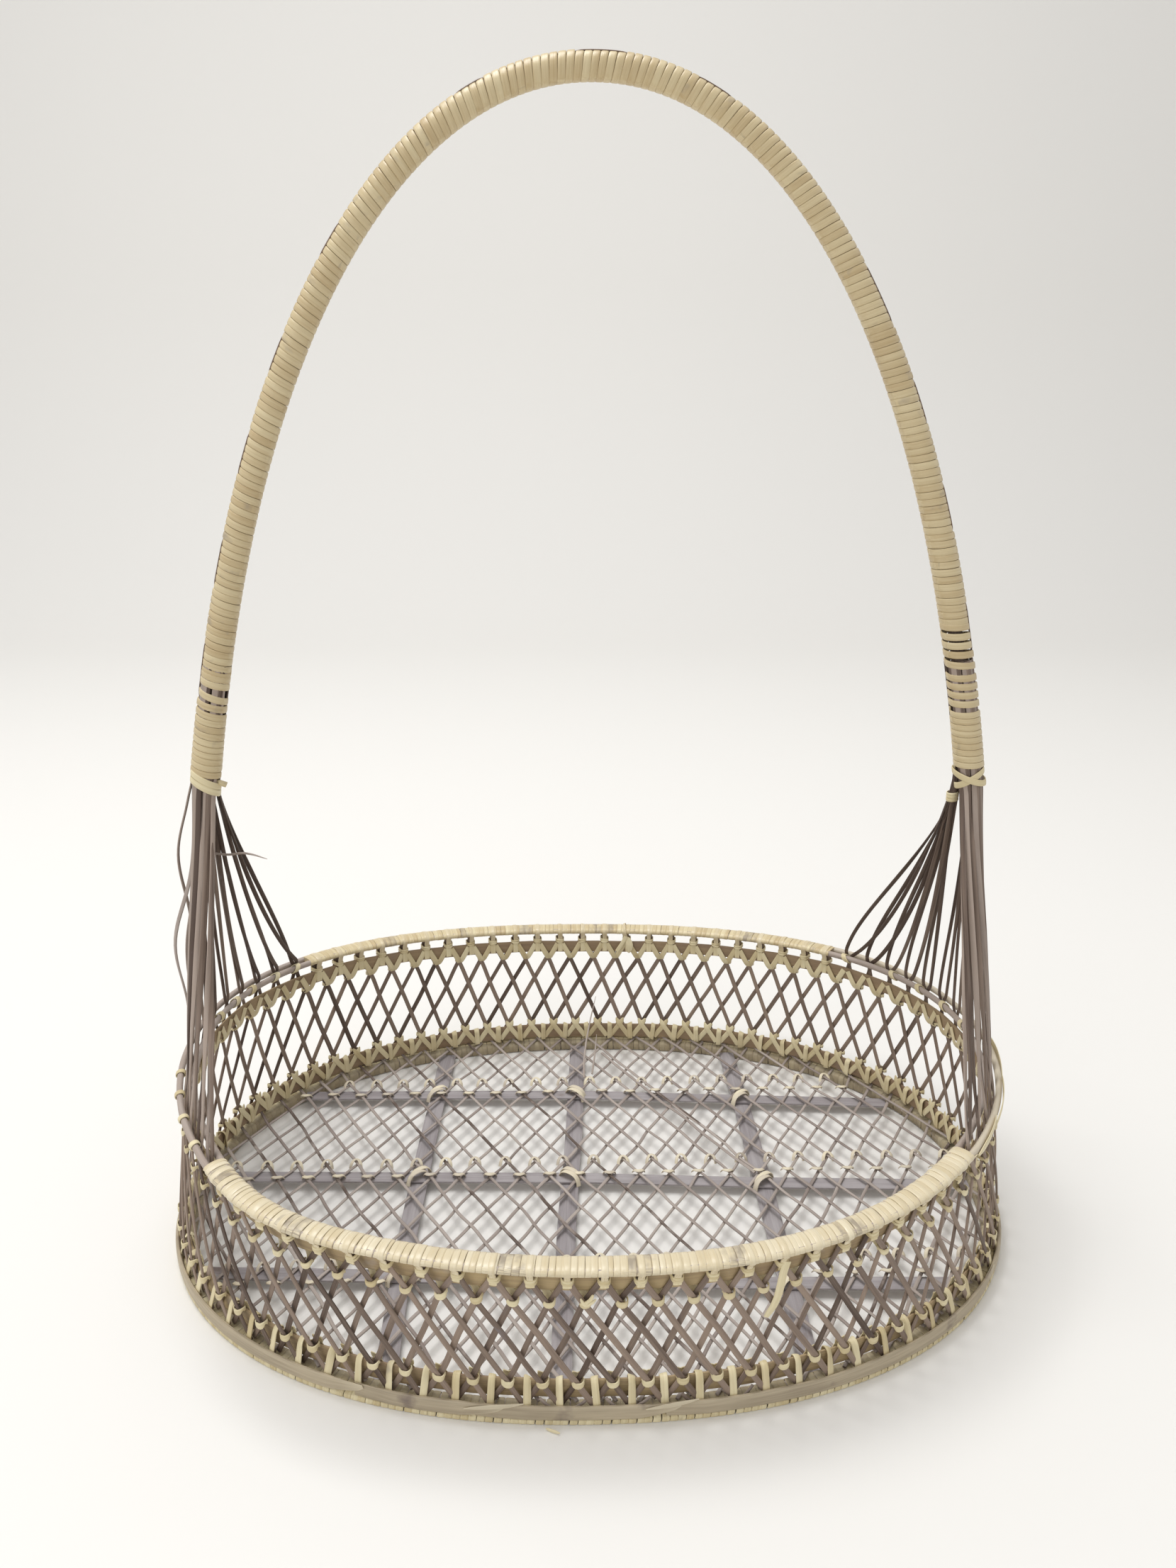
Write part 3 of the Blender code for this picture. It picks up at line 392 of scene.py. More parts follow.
class Weave:
    """Gathers swept canes into one mesh, each with its length as UVs and a tone of its own."""

    def __init__(self, name, finish_name, slot, *nodes):
        self.name = name
        self.finish_name = finish_name
        self.slot = slot
        self.nodes = nodes
        self.random = np.random.default_rng([sizes().seed, 0, len(name), sum(name.encode())])
        self.points, self.shades, self.faces = [], [], []
        self.cane_uvs, self.charts, self.chart_uvs = [], [], []
        self.count = 0
        self.chart_count = 0
        self.chart_sizes = []

    def cane(self, path, normal, width, thickness, outline=OVAL, tone=None, stain=0.0, raw_and_painted_shade=0.0, closed=False,
             chart_steps=None):
        """Sweeps one cane along a path, its flat side turned to the normal."""
        path = np.asarray(path, float)
        count, sides = len(path), len(outline)
        if closed:
            ahead = np.roll(path, -1, 0) - np.roll(path, 1, 0)
        else:
            ahead = np.gradient(path, axis=0)
        ahead = unit(ahead)
        side = unit(np.cross(ahead, np.broadcast_to(normal, path.shape)))
        up = np.cross(side, ahead)
        half_width = np.broadcast_to(np.asarray(width, float) / 2, count)
        half_thickness = np.broadcast_to(np.asarray(thickness, float) / 2, count)
        ring = (path[:, None] + side[:, None] * outline[None, :, :1] * half_width[:, None, None]
                + up[:, None] * outline[None, :, 1:] * half_thickness[:, None, None])
        tone = self.random.random() if tone is None else tone
        shade = np.ones((count, sides, 4))
        for channel, value in enumerate((tone, stain, raw_and_painted_shade)):
            value = np.asarray(value, float)
            shade[:, :, channel] = value[:, None] if value.ndim == 1 else value
        self.points.append(ring.reshape(-1, 3))
        self.shades.append(shade.reshape(-1, 4))
        self._skin(path, outline, outline * [half_width.mean(), half_thickness.mean()], closed, chart_steps)

    def _skin(self, path, outline, scaled, closed, chart_steps):
        """Adds the faces between a cane's rings and over its ends, with their places in both UV maps."""
        count, sides = len(path), len(outline)
        spans = count if closed else count - 1
        step = np.linalg.norm(np.diff(np.concatenate([path, path[:1]]), axis=0), axis=1)[:spans]
        travel = running(step) + self.random.random() * 5
        edge = np.linalg.norm(np.roll(scaled, -1, 0) - scaled, axis=1)
        girth = running(edge)
        i, k = np.meshgrid(np.arange(spans), np.arange(sides), indexing="ij")
        i, k = i.ravel(), k.ravel()
        here, there, next_k = i * sides, (i + 1) % count * sides, (k + 1) % sides
        quads = np.stack([here + k, there + k, there + next_k, here + next_k], 1)
        uv = rectangles(travel[i], travel[i + 1], girth[k], girth[k + 1])
        per_chart = chart_steps or spans
        chart = i // per_chart
        start = (i % per_chart) / per_chart * CHART_LENGTH + 0.01
        low, high = (CHART_MARGIN + CHART_HEIGHT * edge_k / sides for edge_k in (k, k + 1))
        local = rectangles(start, start + CHART_LENGTH / per_chart, low, high)
        self._add(quads + self.count, uv, chart + self.chart_count, local)
        if not closed:
            ends = np.stack([np.arange(sides), (count - 1) * sides + np.arange(sides)[::-1]])
            cap = np.stack([scaled, scaled[::-1]])
            box = outline * 0.5 + 0.5
            spots = np.stack([box * [0.03, 0.4] + [0.955, 0.05], box[::-1] * [0.03, 0.4] + [0.955, 0.55]])
            self._add(ends + self.count, cap, np.array([0, 0]) + self.chart_count, spots)
        self.count += count * sides
        self.chart_count += int(chart.max()) + 1
        self.chart_sizes.append((step.sum() / (chart.max() + 1), girth[-1]))

    def _add(self, faces, cane_uv, chart, chart_uv):
        self.faces.append(faces)
        self.cane_uvs.append(cane_uv.reshape(-1, 2))
        self.charts.append(np.repeat(chart, faces.shape[1]))
        self.chart_uvs.append(chart_uv.reshape(-1, 2))

    def _bake_uv(self):
        """Places every chart in a cell of one grid, with cells about as long and narrow as the canes."""
        length, girth = np.mean(self.chart_sizes, axis=0)
        columns = max(1, round(math.sqrt(self.chart_count * girth / length)))
        rows = math.ceil(self.chart_count / columns)
        chart = np.concatenate(self.charts)
        cell = np.stack([chart % columns, chart // columns], 1)
        return (cell + np.concatenate(self.chart_uvs)) / [columns, rows]

    def make(self):
        """Builds the piece, dresses it and sets it on the frame."""
        mesh = bpy.data.meshes.new(self.name)
        points = np.concatenate(self.points)
        corners = np.concatenate([face.ravel() for face in self.faces])
        totals = np.concatenate([np.full(len(face), face.shape[1]) for face in self.faces])
        starts = running(totals[:-1])
        mesh.vertices.add(len(points))
        mesh.vertices.foreach_set("co", points.ravel())
        mesh.loops.add(len(corners))
        mesh.loops.foreach_set("vertex_index", corners)
        mesh.polygons.add(len(totals))
        mesh.polygons.foreach_set("loop_start", starts)
        mesh.update(calc_edges=True)
        mesh.polygons.foreach_set("use_smooth", np.ones(len(totals), bool))
        mesh.set_sharp_from_angle(angle=math.radians(50))
        mesh.uv_layers.new(name="Cane").data.foreach_set("uv", np.concatenate(self.cane_uvs).ravel())
        mesh.uv_layers.new(name="OFBake").data.foreach_set("uv", self._bake_uv().ravel())
        shade = mesh.attributes.new("Shade", "FLOAT_COLOR", "POINT")
        shade.data.foreach_set("color", np.concatenate(self.shades).ravel())
        mesh.materials.append(finish(self.finish_name))
        piece = bpy.data.objects.new(self.name, mesh)
        bpy.context.collection.objects.link(piece)
        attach(piece, "root")
        if self.nodes:
            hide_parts(*self.nodes)
        return piece


class Oval:
    """One ring of the basket, measured in nodes from its right end, anticlockwise."""

    def __init__(self, half_length, half_width):
        angle = np.linspace(0, 2 * np.pi, OUTLINE_SAMPLES + 1)
        across, deep = rounded(angle, OUTLINE_EXPONENT)
        self.points = np.stack([half_length * across, half_width * deep], 1)
        travel = travel_along(self.points)
        self.length = travel[-1]
        self.nodes = travel / travel[-1] * NODES

    def at(self, node):
        """Level point at a node."""
        return between(np.mod(node, NODES), self.nodes, self.points)

    def outward(self, node):
        """Level direction out of the ring."""
        ahead = self.at(np.asarray(node) + 0.1) - self.at(np.asarray(node) - 0.1)
        return unit(np.stack([ahead[..., 1], -ahead[..., 0], np.zeros_like(ahead[..., 0])], -1))


FOOT = Oval(*FOOT_HALF)
LOW = Oval(*LOW_HALF)
RIM = Oval(*RIM_HALF)
NODE_PITCH = RIM.length / NODES


def rim_height(node):
    """Height of the rim's centre line."""
    share = RIM.at(node)[..., 0] / RIM_HALF[0]
    return RIM_HEIGHT + RIM_END_RISE * share ** 2 - RIM_LEFT_RISE * share


# How far the woven rim strays outward from its even outline, in millimetres at nodes
STRAY_NODES = (0, 31.5, 38, 43, 46, 47.5, 49, 50.5, 52, 54, 56.5, 64, 67.5, 69.5, 71.5, 74.5, 77.5, 80)
STRAY = (0, 0, -1, -4.2, -3, 0, 3.4, 5, 4.3, 2, 0.9, 0, -1.5, -3, -4.8, -5.2, -3, 0)
STRAY_SOFTENING = (-0.8, -0.4, 0, 0.4, 0.8)


def wall(node, height, offset=0.0):
    """Points on the wall's middle surface at a height, moved outward by an offset."""
    values = (np.asarray(value, float) for value in (node, height, offset))
    node, height, offset = np.broadcast_arrays(*values)
    beside = [np.interp(np.mod(node + shift, NODES), STRAY_NODES, STRAY) for shift in STRAY_SOFTENING]
    stray = np.mean(beside, axis=0)[..., None] * MM
    low, top = LOW.at(node), RIM.at(node) + RIM.outward(node)[..., :2] * stray
    share = np.clip((height - LOWER_CROSSING) / (rim_height(node) - LOWER_CROSSING), 0, None)[..., None]
    level = low + (top - low) * share + RIM.outward(node)[..., :2] * offset[..., None]
    return raised(level, height)


def eased(values, rounds):
    """Values with their corners softened and their ends kept."""
    values = np.array(values, float)
    for _ in range(rounds):
        values[1:-1] = 0.25 * values[:-2] + 0.5 * values[1:-1] + 0.25 * values[2:]
    return values


def polyline(points, step, rounds, scale=1.0):
    """Evenly spaced points through a few given ones, with their corners softened."""
    points = np.array(points, float)
    travel = travel_along(points, scale)
    count = max(4, int(round(travel[-1] / step)) + 1)
    return eased(between(np.linspace(0, travel[-1], count), travel, points), rounds)


def route(stops, step, rounds=2):
    """Evenly spaced stations through stops of node, height and offset on the wall."""
    return polyline(stops, step, rounds, (NODE_PITCH, 1, 1))


def on_wall(stations):
    """Points and normals of stations on the wall."""
    return wall(*stations.T), RIM.outward(stations[:, 0])


def wander(random, count, knots, reach):
    """A smooth random swing along a cane."""
    place = np.linspace(0, knots - 1, count)
    values = random.normal(0, reach, knots + 1)
    low = np.floor(place).astype(int)
    share = place - low
    share = share * share * (3 - 2 * share)
    return values[low] * (1 - share) + values[low + 1] * share


def spaced(start, end, pitch, random, play):
    """Stations of turns about a pitch apart."""
    turns = max(1, round((end - start) / pitch))
    widths = random.uniform(1 - play, 1 + play, turns)
    return start + running(widths / widths.sum()) * (end - start)


def handle_line():
    """Centre line of the handle from its left foot to its right foot, and the distance along it."""
    rise = HANDLE_TOP - HANDLE_BASE
    start = math.asin(((HANDLE_FOOT_HEIGHT - HANDLE_BASE) / rise) ** (HANDLE_RISE_EXPONENT / 2))
    angle = np.linspace(math.pi - start, start, HANDLE_SAMPLES)
    x = HANDLE_SPREAD * np.sign(np.cos(angle)) * np.abs(np.cos(angle)) ** (2 / HANDLE_SIDE_EXPONENT)
    z = HANDLE_BASE + rise * np.sin(angle) ** (2 / HANDLE_RISE_EXPONENT)
    line = np.stack([x, np.zeros_like(x), z], 1)
    return line, travel_along(line)


HANDLE_LINE, HANDLE_TRAVEL = handle_line()
HANDLE_LENGTH = float(HANDLE_TRAVEL[-1])


def handle_at(distance):
    """Centre and outward direction of the handle at distances from its left foot."""
    distance = np.asarray(distance, float)

    def point(place):
        return between(np.clip(place, 0, HANDLE_LENGTH), HANDLE_TRAVEL, HANDLE_LINE)

    reach = 1.0 * MM
    along = unit(point(np.minimum(distance + reach, HANDLE_LENGTH)) - point(np.maximum(distance - reach, 0)))
    beyond = distance - np.clip(distance, 0, HANDLE_LENGTH)
    outward = np.stack([-along[..., 2], np.zeros_like(distance), along[..., 0]], -1)
    return point(distance) + along * beyond[..., None], outward


def round_handle(outward, angle):
    """Direction out of the handle at an angle, which is 0 on the arch's outer side."""
    angle = np.asarray(angle)[..., None]
    return outward * np.cos(angle) + TO_BACK * np.sin(angle)


def handle_radius(distance):
    """Outer radius of the wound handle."""
    share = np.clip(np.asarray(distance) / HANDLE_LENGTH, 0, 1)
    swell = np.sin(np.pi * share)
    return (sizes().handle_foot_diameter * (1 - swell) + sizes().handle_top_diameter * swell) / 2


FOOT_TURN_STEPS = 14
FOOT_TURN_OUTLINE = np.array([(0.95, 0.35), (0.8, 1.3), (0.95, 2.2), (2.9, 3.2), (3.0, 5.6), (3.7, 6.1),
                              (6.3, 6.15), (8.9, 6.0), (9.6, 5.3), (9.65, 3.2), (9.6, 1.0), (8.9, 0.4),
                              (6.3, 0.35), (2.6, 0.32)]) * MM
FOOT_HOOP_INSET = 6.3 * MM
FOOT_TURN_SLANT = 0.18
FOOT_TURN_FILL = 0.94
FOOT_TURN_THICKNESS = 0.55 * MM


def weave_foot_winding():
    """Split cane wound round the foot hoop, its turns showing as teeth below the strip, with painted shade on
    their inner side.
    """
    winding = Weave("foot_winding", "foot_winding", "rim_cane", "foot_wrap")
    turns = round(FOOT.length / sizes().foot_turn)
    starts = np.arange(turns) + winding.random.normal(0, 0.05, turns)
    outline = np.concatenate([FOOT_TURN_OUTLINE, FOOT_TURN_OUTLINE[:1]])
    share = np.arange(FOOT_TURN_STEPS + 1) / FOOT_TURN_STEPS
    # Painted shade: each turn darkens toward its inner side, through the fresh-colour channel
    painted_inner_shade = np.clip((outline[:, 0] / MM - 4.0) / 3.0, 0, 1) * 0.75
    for start in starts:
        node = (start + FOOT_TURN_SLANT * np.sin(np.pi * share)) * NODES / turns
        outward = FOOT.outward(node)
        path = raised(FOOT.at(node), outline[:, 1]) - outward * outline[:, :1]
        spoke = outward * (FOOT_HOOP_INSET - outline[:, :1]) + UP * (outline[:, 1:] - FOOT_WINDING_TOP / 2)
        winding.cane(path, unit(spoke), sizes().foot_turn * FOOT_TURN_FILL, FOOT_TURN_THICKNESS, CROWNED,
                     stain=winding.random.random() * 0.4, raw_and_painted_shade=painted_inner_shade)
    winding.make()


FOOT_STRIP_LENGTHS = ((52.8, 57.2), (56.4, 62.2), (61.8, 74.7), (73.9, 95.3), (94.1, 113.7), (112.7, 133.1))
FOOT_STRIP_THICKNESS = 2.3 * MM
SPLICE_NODES = 1.2
SLIVER_WIDTH = 2.4 * MM
SLIVER_THICKNESS = 0.5 * MM
STRIP_SLIVERS = (((56.1, 7.6), (56.7, 9.2), (57.3, 10.6), (57.8, 12.4)),
                 ((61.2, 8.6), (61.8, 9.8), (62.4, 11.2), (62.7, 12.2)))


def weave_foot_strip():
    """Flat strip round the foot, in lengths whose thin ends lap over each other."""
    strip = Weave("foot_edge_strip", "foot", "foot_strip", "foot_strip")
    height = FOOT_STRIP_TOP - FOOT_STRIP_BOTTOM
    middle = (FOOT_STRIP_TOP + FOOT_STRIP_BOTTOM) / 2
    for start, end in FOOT_STRIP_LENGTHS:
        node = np.linspace(start, end, int((end - start) * 6))
        from_start = np.clip((node - start) / SPLICE_NODES, 0, 1)
        from_end = np.clip((end - node) / SPLICE_NODES, 0, 1)
        thick = FOOT_STRIP_THICKNESS * (0.15 + 0.85 * from_start) * (0.2 + 0.8 * from_end)
        inset = FOOT_STRIP_THICKNESS / 2 - 0.55 * MM * (1 - from_end) + 0.3 * MM * (1 - from_start)
        tall = height * (0.25 + 0.75 * from_end ** 0.6)
        level = middle + (height - tall) / 2 + wander(strip.random, len(node), 12, 0.12 * MM)
        outward = FOOT.outward(node)
        path = raised(FOOT.at(node), level) - outward * inset[:, None]
        strip.cane(path, outward, tall, thick, STRIP, raw_and_painted_shade=np.clip(1 - from_end * 1.6, 0, 1) * 0.5,
                   stain=0.3 + wander(strip.random, len(node), 14, 0.2))
    for stops in STRIP_SLIVERS:
        stations = route([(node, height * MM, 0.0) for node, height in stops], 1.5 * MM, 2)
        path = raised(FOOT.at(stations[:, 0]), stations[:, 1])
        share = np.linspace(0, 1, len(path))
        strip.cane(path + FOOT.outward(stations[:, 0]) * 0.25 * MM, FOOT.outward(stations[:, 0]),
                   SLIVER_WIDTH * (1 - 0.85 * np.abs(2 * share - 1) ** 2), SLIVER_THICKNESS, OVAL, tone=0.3,
                   raw_and_painted_shade=0.55)
    strip.make()


def weave_bands():
    """The two flat bands that the wall canes are laced to."""
    thickness = sizes().band_thickness
    count = NODES * 6
    node = np.arange(count) * NODES / count
    for name, solid, low, high in (("lower_flat_band", "lower_band", LOWER_BAND_BOTTOM, LOWER_BAND_TOP),
                                   ("upper_flat_band", "upper_band", None, None)):
        band = Weave(name, "band", "slat", solid)
        if low is None:
            middle = rim_height(node) - UPPER_BAND_DROP
            tall = UPPER_BAND_HEIGHT
        else:
            middle = np.full(count, (low + high) / 2)
            tall = high - low
        swing = np.sin(node * 0.9) * 0.15 * MM + np.sin(node * 2.3 + 1) * 0.12 * MM
        path = wall(node, middle + swing, BAND_OFFSET)
        inner = (SPLINT[:, 1] < 0).astype(float)
        band.cane(path, RIM.outward(node), tall, thickness, SPLINT, tone=0.4 if low is None else 0.55,
                  raw_and_painted_shade=np.broadcast_to(inner * 0.55, (count, len(SPLINT))), stain=0.35, closed=True,
                  chart_steps=24)
        band.make()


ROD_WIDTH = 3.6 * MM
INNER_ROD_TIES = (0.95, 2.5, 4.1, 5.6, 8.0, 33.2, 34.3, 35.7, 36.8, 38.1)
OUTER_ROD_TIES = (42.0, 43.3, 44.7, 46.2)
LOOSE_TURN_NODES = ((72.9, 74.9), (74.7, 77.3), (77.5, 79.9))


ROD_TIE_STEPS = 22
ROD_TIE_WIDTH = 3.0 * MM
ROD_TIE_THICKNESS = 0.6 * MM


def rod_tie(weave, node, offset, slant):
    """A slanting turn of pale cane round one rod of the rim."""
    angle = np.linspace(0, 2 * np.pi, ROD_TIE_STEPS, endpoint=False)
    out = np.cos(angle) * ROD_WIDTH * 0.64
    up = np.sin(angle) * ROD_WIDTH * 0.62
    path = wall(node + slant * np.sin(angle), rim_height(node) + up, offset + out)
    normal = RIM.outward(node) * np.cos(angle)[:, None] + UP * np.sin(angle)[:, None]
    weave.cane(path, normal, ROD_TIE_WIDTH, ROD_TIE_THICKNESS, CROWNED, stain=weave.random.random() * 0.2,
               closed=True)


def weave_rods():
    """The two rods of the rim, which show where the winding stops."""
    count = NODES * 5
    node = np.arange(count) * NODES / count
    right = np.clip(RIM.at(node)[:, 0] / RIM_HALF[0] * 3 - 1.6, 0, 1)
    for name, solid, offset, raw_and_painted_shade in (("inner_rim_rod", "rim_rod_inner", -ROD_OFFSET, 0.0),
                                     ("outer_rim_rod", "rim_rod_outer", ROD_OFFSET, 0.6)):
        rod = Weave(name, "rod", "rod", solid)
        path = wall(node, rim_height(node), offset)
        rod.cane(path, RIM.outward(node), ROD_WIDTH, ROD_WIDTH * 0.92, ROUND, tone=0.5, stain=0.2,
                 raw_and_painted_shade=right * raw_and_painted_shade, closed=True, chart_steps=20)
        rod.make()


LOOSE_TURN_DROP = 2.4 * MM
LOOSE_TURN_WIDTH = 4.2 * MM


def weave_rod_ties():
    """Turns of pale cane on the bare stretches of both rods, the last of them loose."""
    ties = Weave("rod_ties", "lacing", "pale_cane")
    for place in INNER_ROD_TIES:
        rod_tie(ties, place, -ROD_OFFSET, 0.12 if place < NODES / 4 else -0.12)
    for place in OUTER_ROD_TIES:
        rod_tie(ties, place, ROD_OFFSET, 0.03)
    for first, last in LOOSE_TURN_NODES:
        along = np.linspace(0, 1, 24)
        drop = LOOSE_TURN_DROP * (1 - 2 * along)
        out = ROD_OFFSET + (2.0 + 0.6 * np.sin(np.pi * along)) * MM
        path = wall(first + (last - first) * along, rim_height((first + last) / 2) - drop, out)
        width = LOOSE_TURN_WIDTH * (1 - 0.7 * np.abs(2 * along - 1) ** 3)
        ties.cane(path, RIM.outward(first + (last - first) * along), width, 0.6 * MM, CROWNED, tone=0.2)
    ties.make()


RIM_TURN_STEPS = 20
RIM_SECTION_EXPONENT = 2.15
RIM_TURN_PLAY = 0.22
RIM_TURN_LIFT = 0.05 * MM
RIM_TURN_THICKNESS = 0.6 * MM
RIM_CORE_INSET = 0.8 * MM


def wind_rim(winding, first, last):
    """Winds one cane closely round both rods between two nodes."""
    starts = spaced(first, last, sizes().rim_turn / NODE_PITCH, winding.random, RIM_TURN_PLAY)
    turns = len(starts) - 1
    turn = np.arange(turns * RIM_TURN_STEPS + 1) / RIM_TURN_STEPS
    whole = np.minimum(np.floor(turn), turns - 1).astype(int)
    share = turn - whole
    angle = 2 * np.pi * share
    travelled = np.clip((share - 0.5) * 2.4, 0, 1) * 0.7 + share * 0.3
    node = starts[whole] + (starts[whole + 1] - starts[whole]) * travelled
    lift = np.repeat(winding.random.normal(0, RIM_TURN_LIFT, turns), RIM_TURN_STEPS)
    lift = eased(np.append(lift, 0), 3)
    half_width, half_height = sizes().rim_half_width, sizes().rim_half_height
    out, up = rounded(angle, RIM_SECTION_EXPONENT)
    out = out * (half_width - RIM_TURN_THICKNESS / 2 + lift)
    up = up * (half_height - RIM_TURN_THICKNESS / 2 + lift)
    path = wall(node, rim_height(node), out) + UP * up[:, None]
    normal = unit(RIM.outward(node) * (np.cos(angle) / half_width)[:, None]
                  + UP * (np.sin(angle) / half_height)[:, None])
    width = (starts[whole + 1] - starts[whole]) * NODE_PITCH * 0.995
    # Turns of the back winding get a darker tone: painted shade
    painted_back_shade = 0.3 if first < NODES / 2 else 0.0
    tone = eased((winding.random.random(turns) + painted_back_shade)[whole], 3)
    smudge = 0.5 + 0.5 * np.sin(np.arange(turns) * 0.31 + 2.0 * np.sin(np.arange(turns) * 0.083))
    stain = eased((0.1 + 0.55 * smudge ** 3)[whole], 3)
    winding.cane(path, normal, eased(width, 2), RIM_TURN_THICKNESS, FLUSH, tone=tone, stain=stain,
                 chart_steps=RIM_TURN_STEPS)


def weave_rim_windings():
    """Cane wound over both rods, from where the front fans end to where they begin again."""
    # The back winding takes the darker copy of the rim's finish as painted shade
    plans = (("rim_winding_back", "rim_in_painted_shade", "rim_wrap_back", BACK_WINDING),
             ("rim_winding_front", "rim", "rim_wrap_front", FRONT_WINDING))
    core_width = (sizes().rim_half_width - RIM_CORE_INSET) * 2
    core_height = (sizes().rim_half_height - RIM_CORE_INSET) * 2
    for name, finish_name, solid, (first, last) in plans:
        winding = Weave(name, finish_name, "rim_cane", solid)
        wind_rim(winding, first, last)
        under = np.linspace(first + 0.05, last - 0.05, int((last - first) * 4))
        winding.cane(wall(under, rim_height(under)), UP, core_width, core_height, OVAL, tone=1.0, stain=0.6,
                     chart_steps=24)
        winding.make()


def in_fan(node):
    """Whether a rim node's canes rise to the handle."""
    place = (node + NODES / 2) % NODES - NODES / 2
    return RIGHT_FAN[0] <= place <= RIGHT_FAN[1] or LEFT_FAN[0] <= node % NODES <= LEFT_FAN[1]


RIM_STRAP_WIDTH = 3.0 * MM
OUTER_END_WIDTH = 3.6 * MM
INNER_END_WIDTH = 3.3 * MM


def strap_over_rim(over, down, node, lean=0.0):
    """A strap from the collar outside over the rim, and its inner end down the upper band."""
    top = float(rim_height(node))
    out = sizes().rim_half_width + 0.12 * MM
    up = sizes().rim_half_height + 0.12 * MM
    band_low = top - UPPER_BAND_DROP - UPPER_BAND_HEIGHT / 2
    outside = [(top - COLLAR_DROP - 2.7 * MM, 2.2 * MM), (top - COLLAR_DROP, 2.5 * MM),
               (top - COLLAR_DROP + 1.6 * MM, 2.6 * MM)]
    crest = [(top - up * 1.25, out - 2.4 * MM), (top - up * 0.6, out - 0.5 * MM), (top, out),
             (top + up * 0.6, out - 1.0 * MM), (top + up, out - 4.0 * MM), (top + up, 4.0 * MM - out),
             (top + up * 0.6, 1.0 * MM - out), (top, -out), (top - up * 0.6, 0.5 * MM - out),
             (top - up * 1.3, 1.5 * MM - out)]
    inside = [(top - COLLAR_DROP, -4.3 * MM), (band_low + 1.2 * MM, -4.5 * MM)]
    plans = ((over, outside[-1:] + crest + inside[:1], RIM_STRAP_WIDTH), (down, outside, OUTER_END_WIDTH),
             (down, inside, INNER_END_WIDTH))
    shift = over.random.normal(0, 0.02)
    for weave, stops, width in plans:
        # Straps over the back half of the rim get a darker tone: painted shade, as on the back winding
        tone = over.random.random() * 0.6 + (0.75 if weave is over and node < NODES / 2 else 0.1)
        stations = route([(node, *stop) for stop in stops], 0.8 * MM, 2)
        stations[:, 0] += shift + lean * (stations[:, 1] - top + COLLAR_DROP) / COLLAR_DROP
        path = wall(*stations.T)
        centre = wall(node, np.minimum(stations[:, 1], top), -1.0 * MM)
        width = width * weave.random.uniform(0.93, 1.1)
        weave.cane(path, unit(path - centre), width, sizes().strap_thickness, CROWNED, tone=tone,
                   stain=weave.random.random() * 0.3)


COLLAR_SHARPNESS = 3.2
COLLAR_STEPS = 20
CUP_SHARPNESS = 2.6
CUP_STEPS = 19
CUP_START = math.radians(-35)
CUP_END = math.radians(215)


def round_crossing(node, angle, half_along, half_out):
    """Normals of a level loop round a crossing."""
    outward = RIM.outward(node)
    sideways = np.cross(UP, outward)
    return unit(outward * (np.sin(angle) / half_out)[:, None]
                + sideways * (np.cos(angle) / half_along)[:, None])


def collar(weave, node, height, half_along, outside, inside, width, dip):
    """A short loop round a crossing, lower in the middle of its outer side than at its ends."""
    angle = np.linspace(0, 2 * np.pi, COLLAR_STEPS, endpoint=False)
    half_out = (outside + inside) / 2
    along, out = rounded(angle, COLLAR_SHARPNESS)
    drop = dip * np.clip(np.sin(angle), 0, 1) + weave.random.normal(0, 0.25 * MM) * np.cos(angle)
    out = out * half_out + (outside - inside) / 2
    path = wall(node + along * half_along / NODE_PITCH, height - drop, out)
    normal = round_crossing(node, angle, half_along, half_out)
    weave.cane(path, normal, width * weave.random.uniform(0.92, 1.1), sizes().strap_thickness, CROWNED,
               stain=weave.random.random() * 0.3, closed=True)


def cup(weave, node, height, half_along, outside, width, dip):
    """A tie round the outside of a crossing, its ends turned up and in between the canes."""
    angle = np.linspace(CUP_START, CUP_END, CUP_STEPS)
    along, out = rounded(angle, CUP_SHARPNESS)
    rise = dip * (np.cos(angle) ** 2 - 0.5) + weave.random.normal(0, 0.3 * MM) * np.cos(angle)
    path = wall(node + along * half_along / NODE_PITCH, height + rise, out * outside)
    normal = round_crossing(node, angle, half_along, outside)
    taper = 1 - 0.5 * np.abs(np.cos(angle)) ** 3
    width = width * taper * weave.random.uniform(0.9, 1.12)
    weave.cane(path, normal, width, sizes().strap_thickness, CROWNED, stain=weave.random.random() * 0.3)


def zigzag(weave, stops, width, pointed=0.0):
    """A slanting strap on the inner face of a band, with its first end cut to a point or left square."""
    path, outward = on_wall(route(stops, 1.0 * MM, 2))
    share = np.linspace(0, 1, len(path))
    width = width * (1 - pointed * np.clip((0.2 - share) / 0.2, 0, 1) ** 1.4)
    weave.cane(path, -outward, width, sizes().strap_thickness, CROWNED, stain=weave.random.random() * 0.3)


LOOSE_STRAP = 18
COLLAR_SIZES = {"half_along": 2.6 * MM, "outside": 2.95 * MM, "inside": 5.0 * MM, "width": 1.3 * MM,
                "dip": 0.7 * MM}
UPPER_CUP_SIZES = {"half_along": 2.5 * MM, "outside": 2.1 * MM, "width": 2.9 * MM, "dip": 1.7 * MM}
LOWER_CUP_SIZES = {"half_along": 2.6 * MM, "outside": 2.1 * MM, "width": 3.1 * MM, "dip": 1.6 * MM}


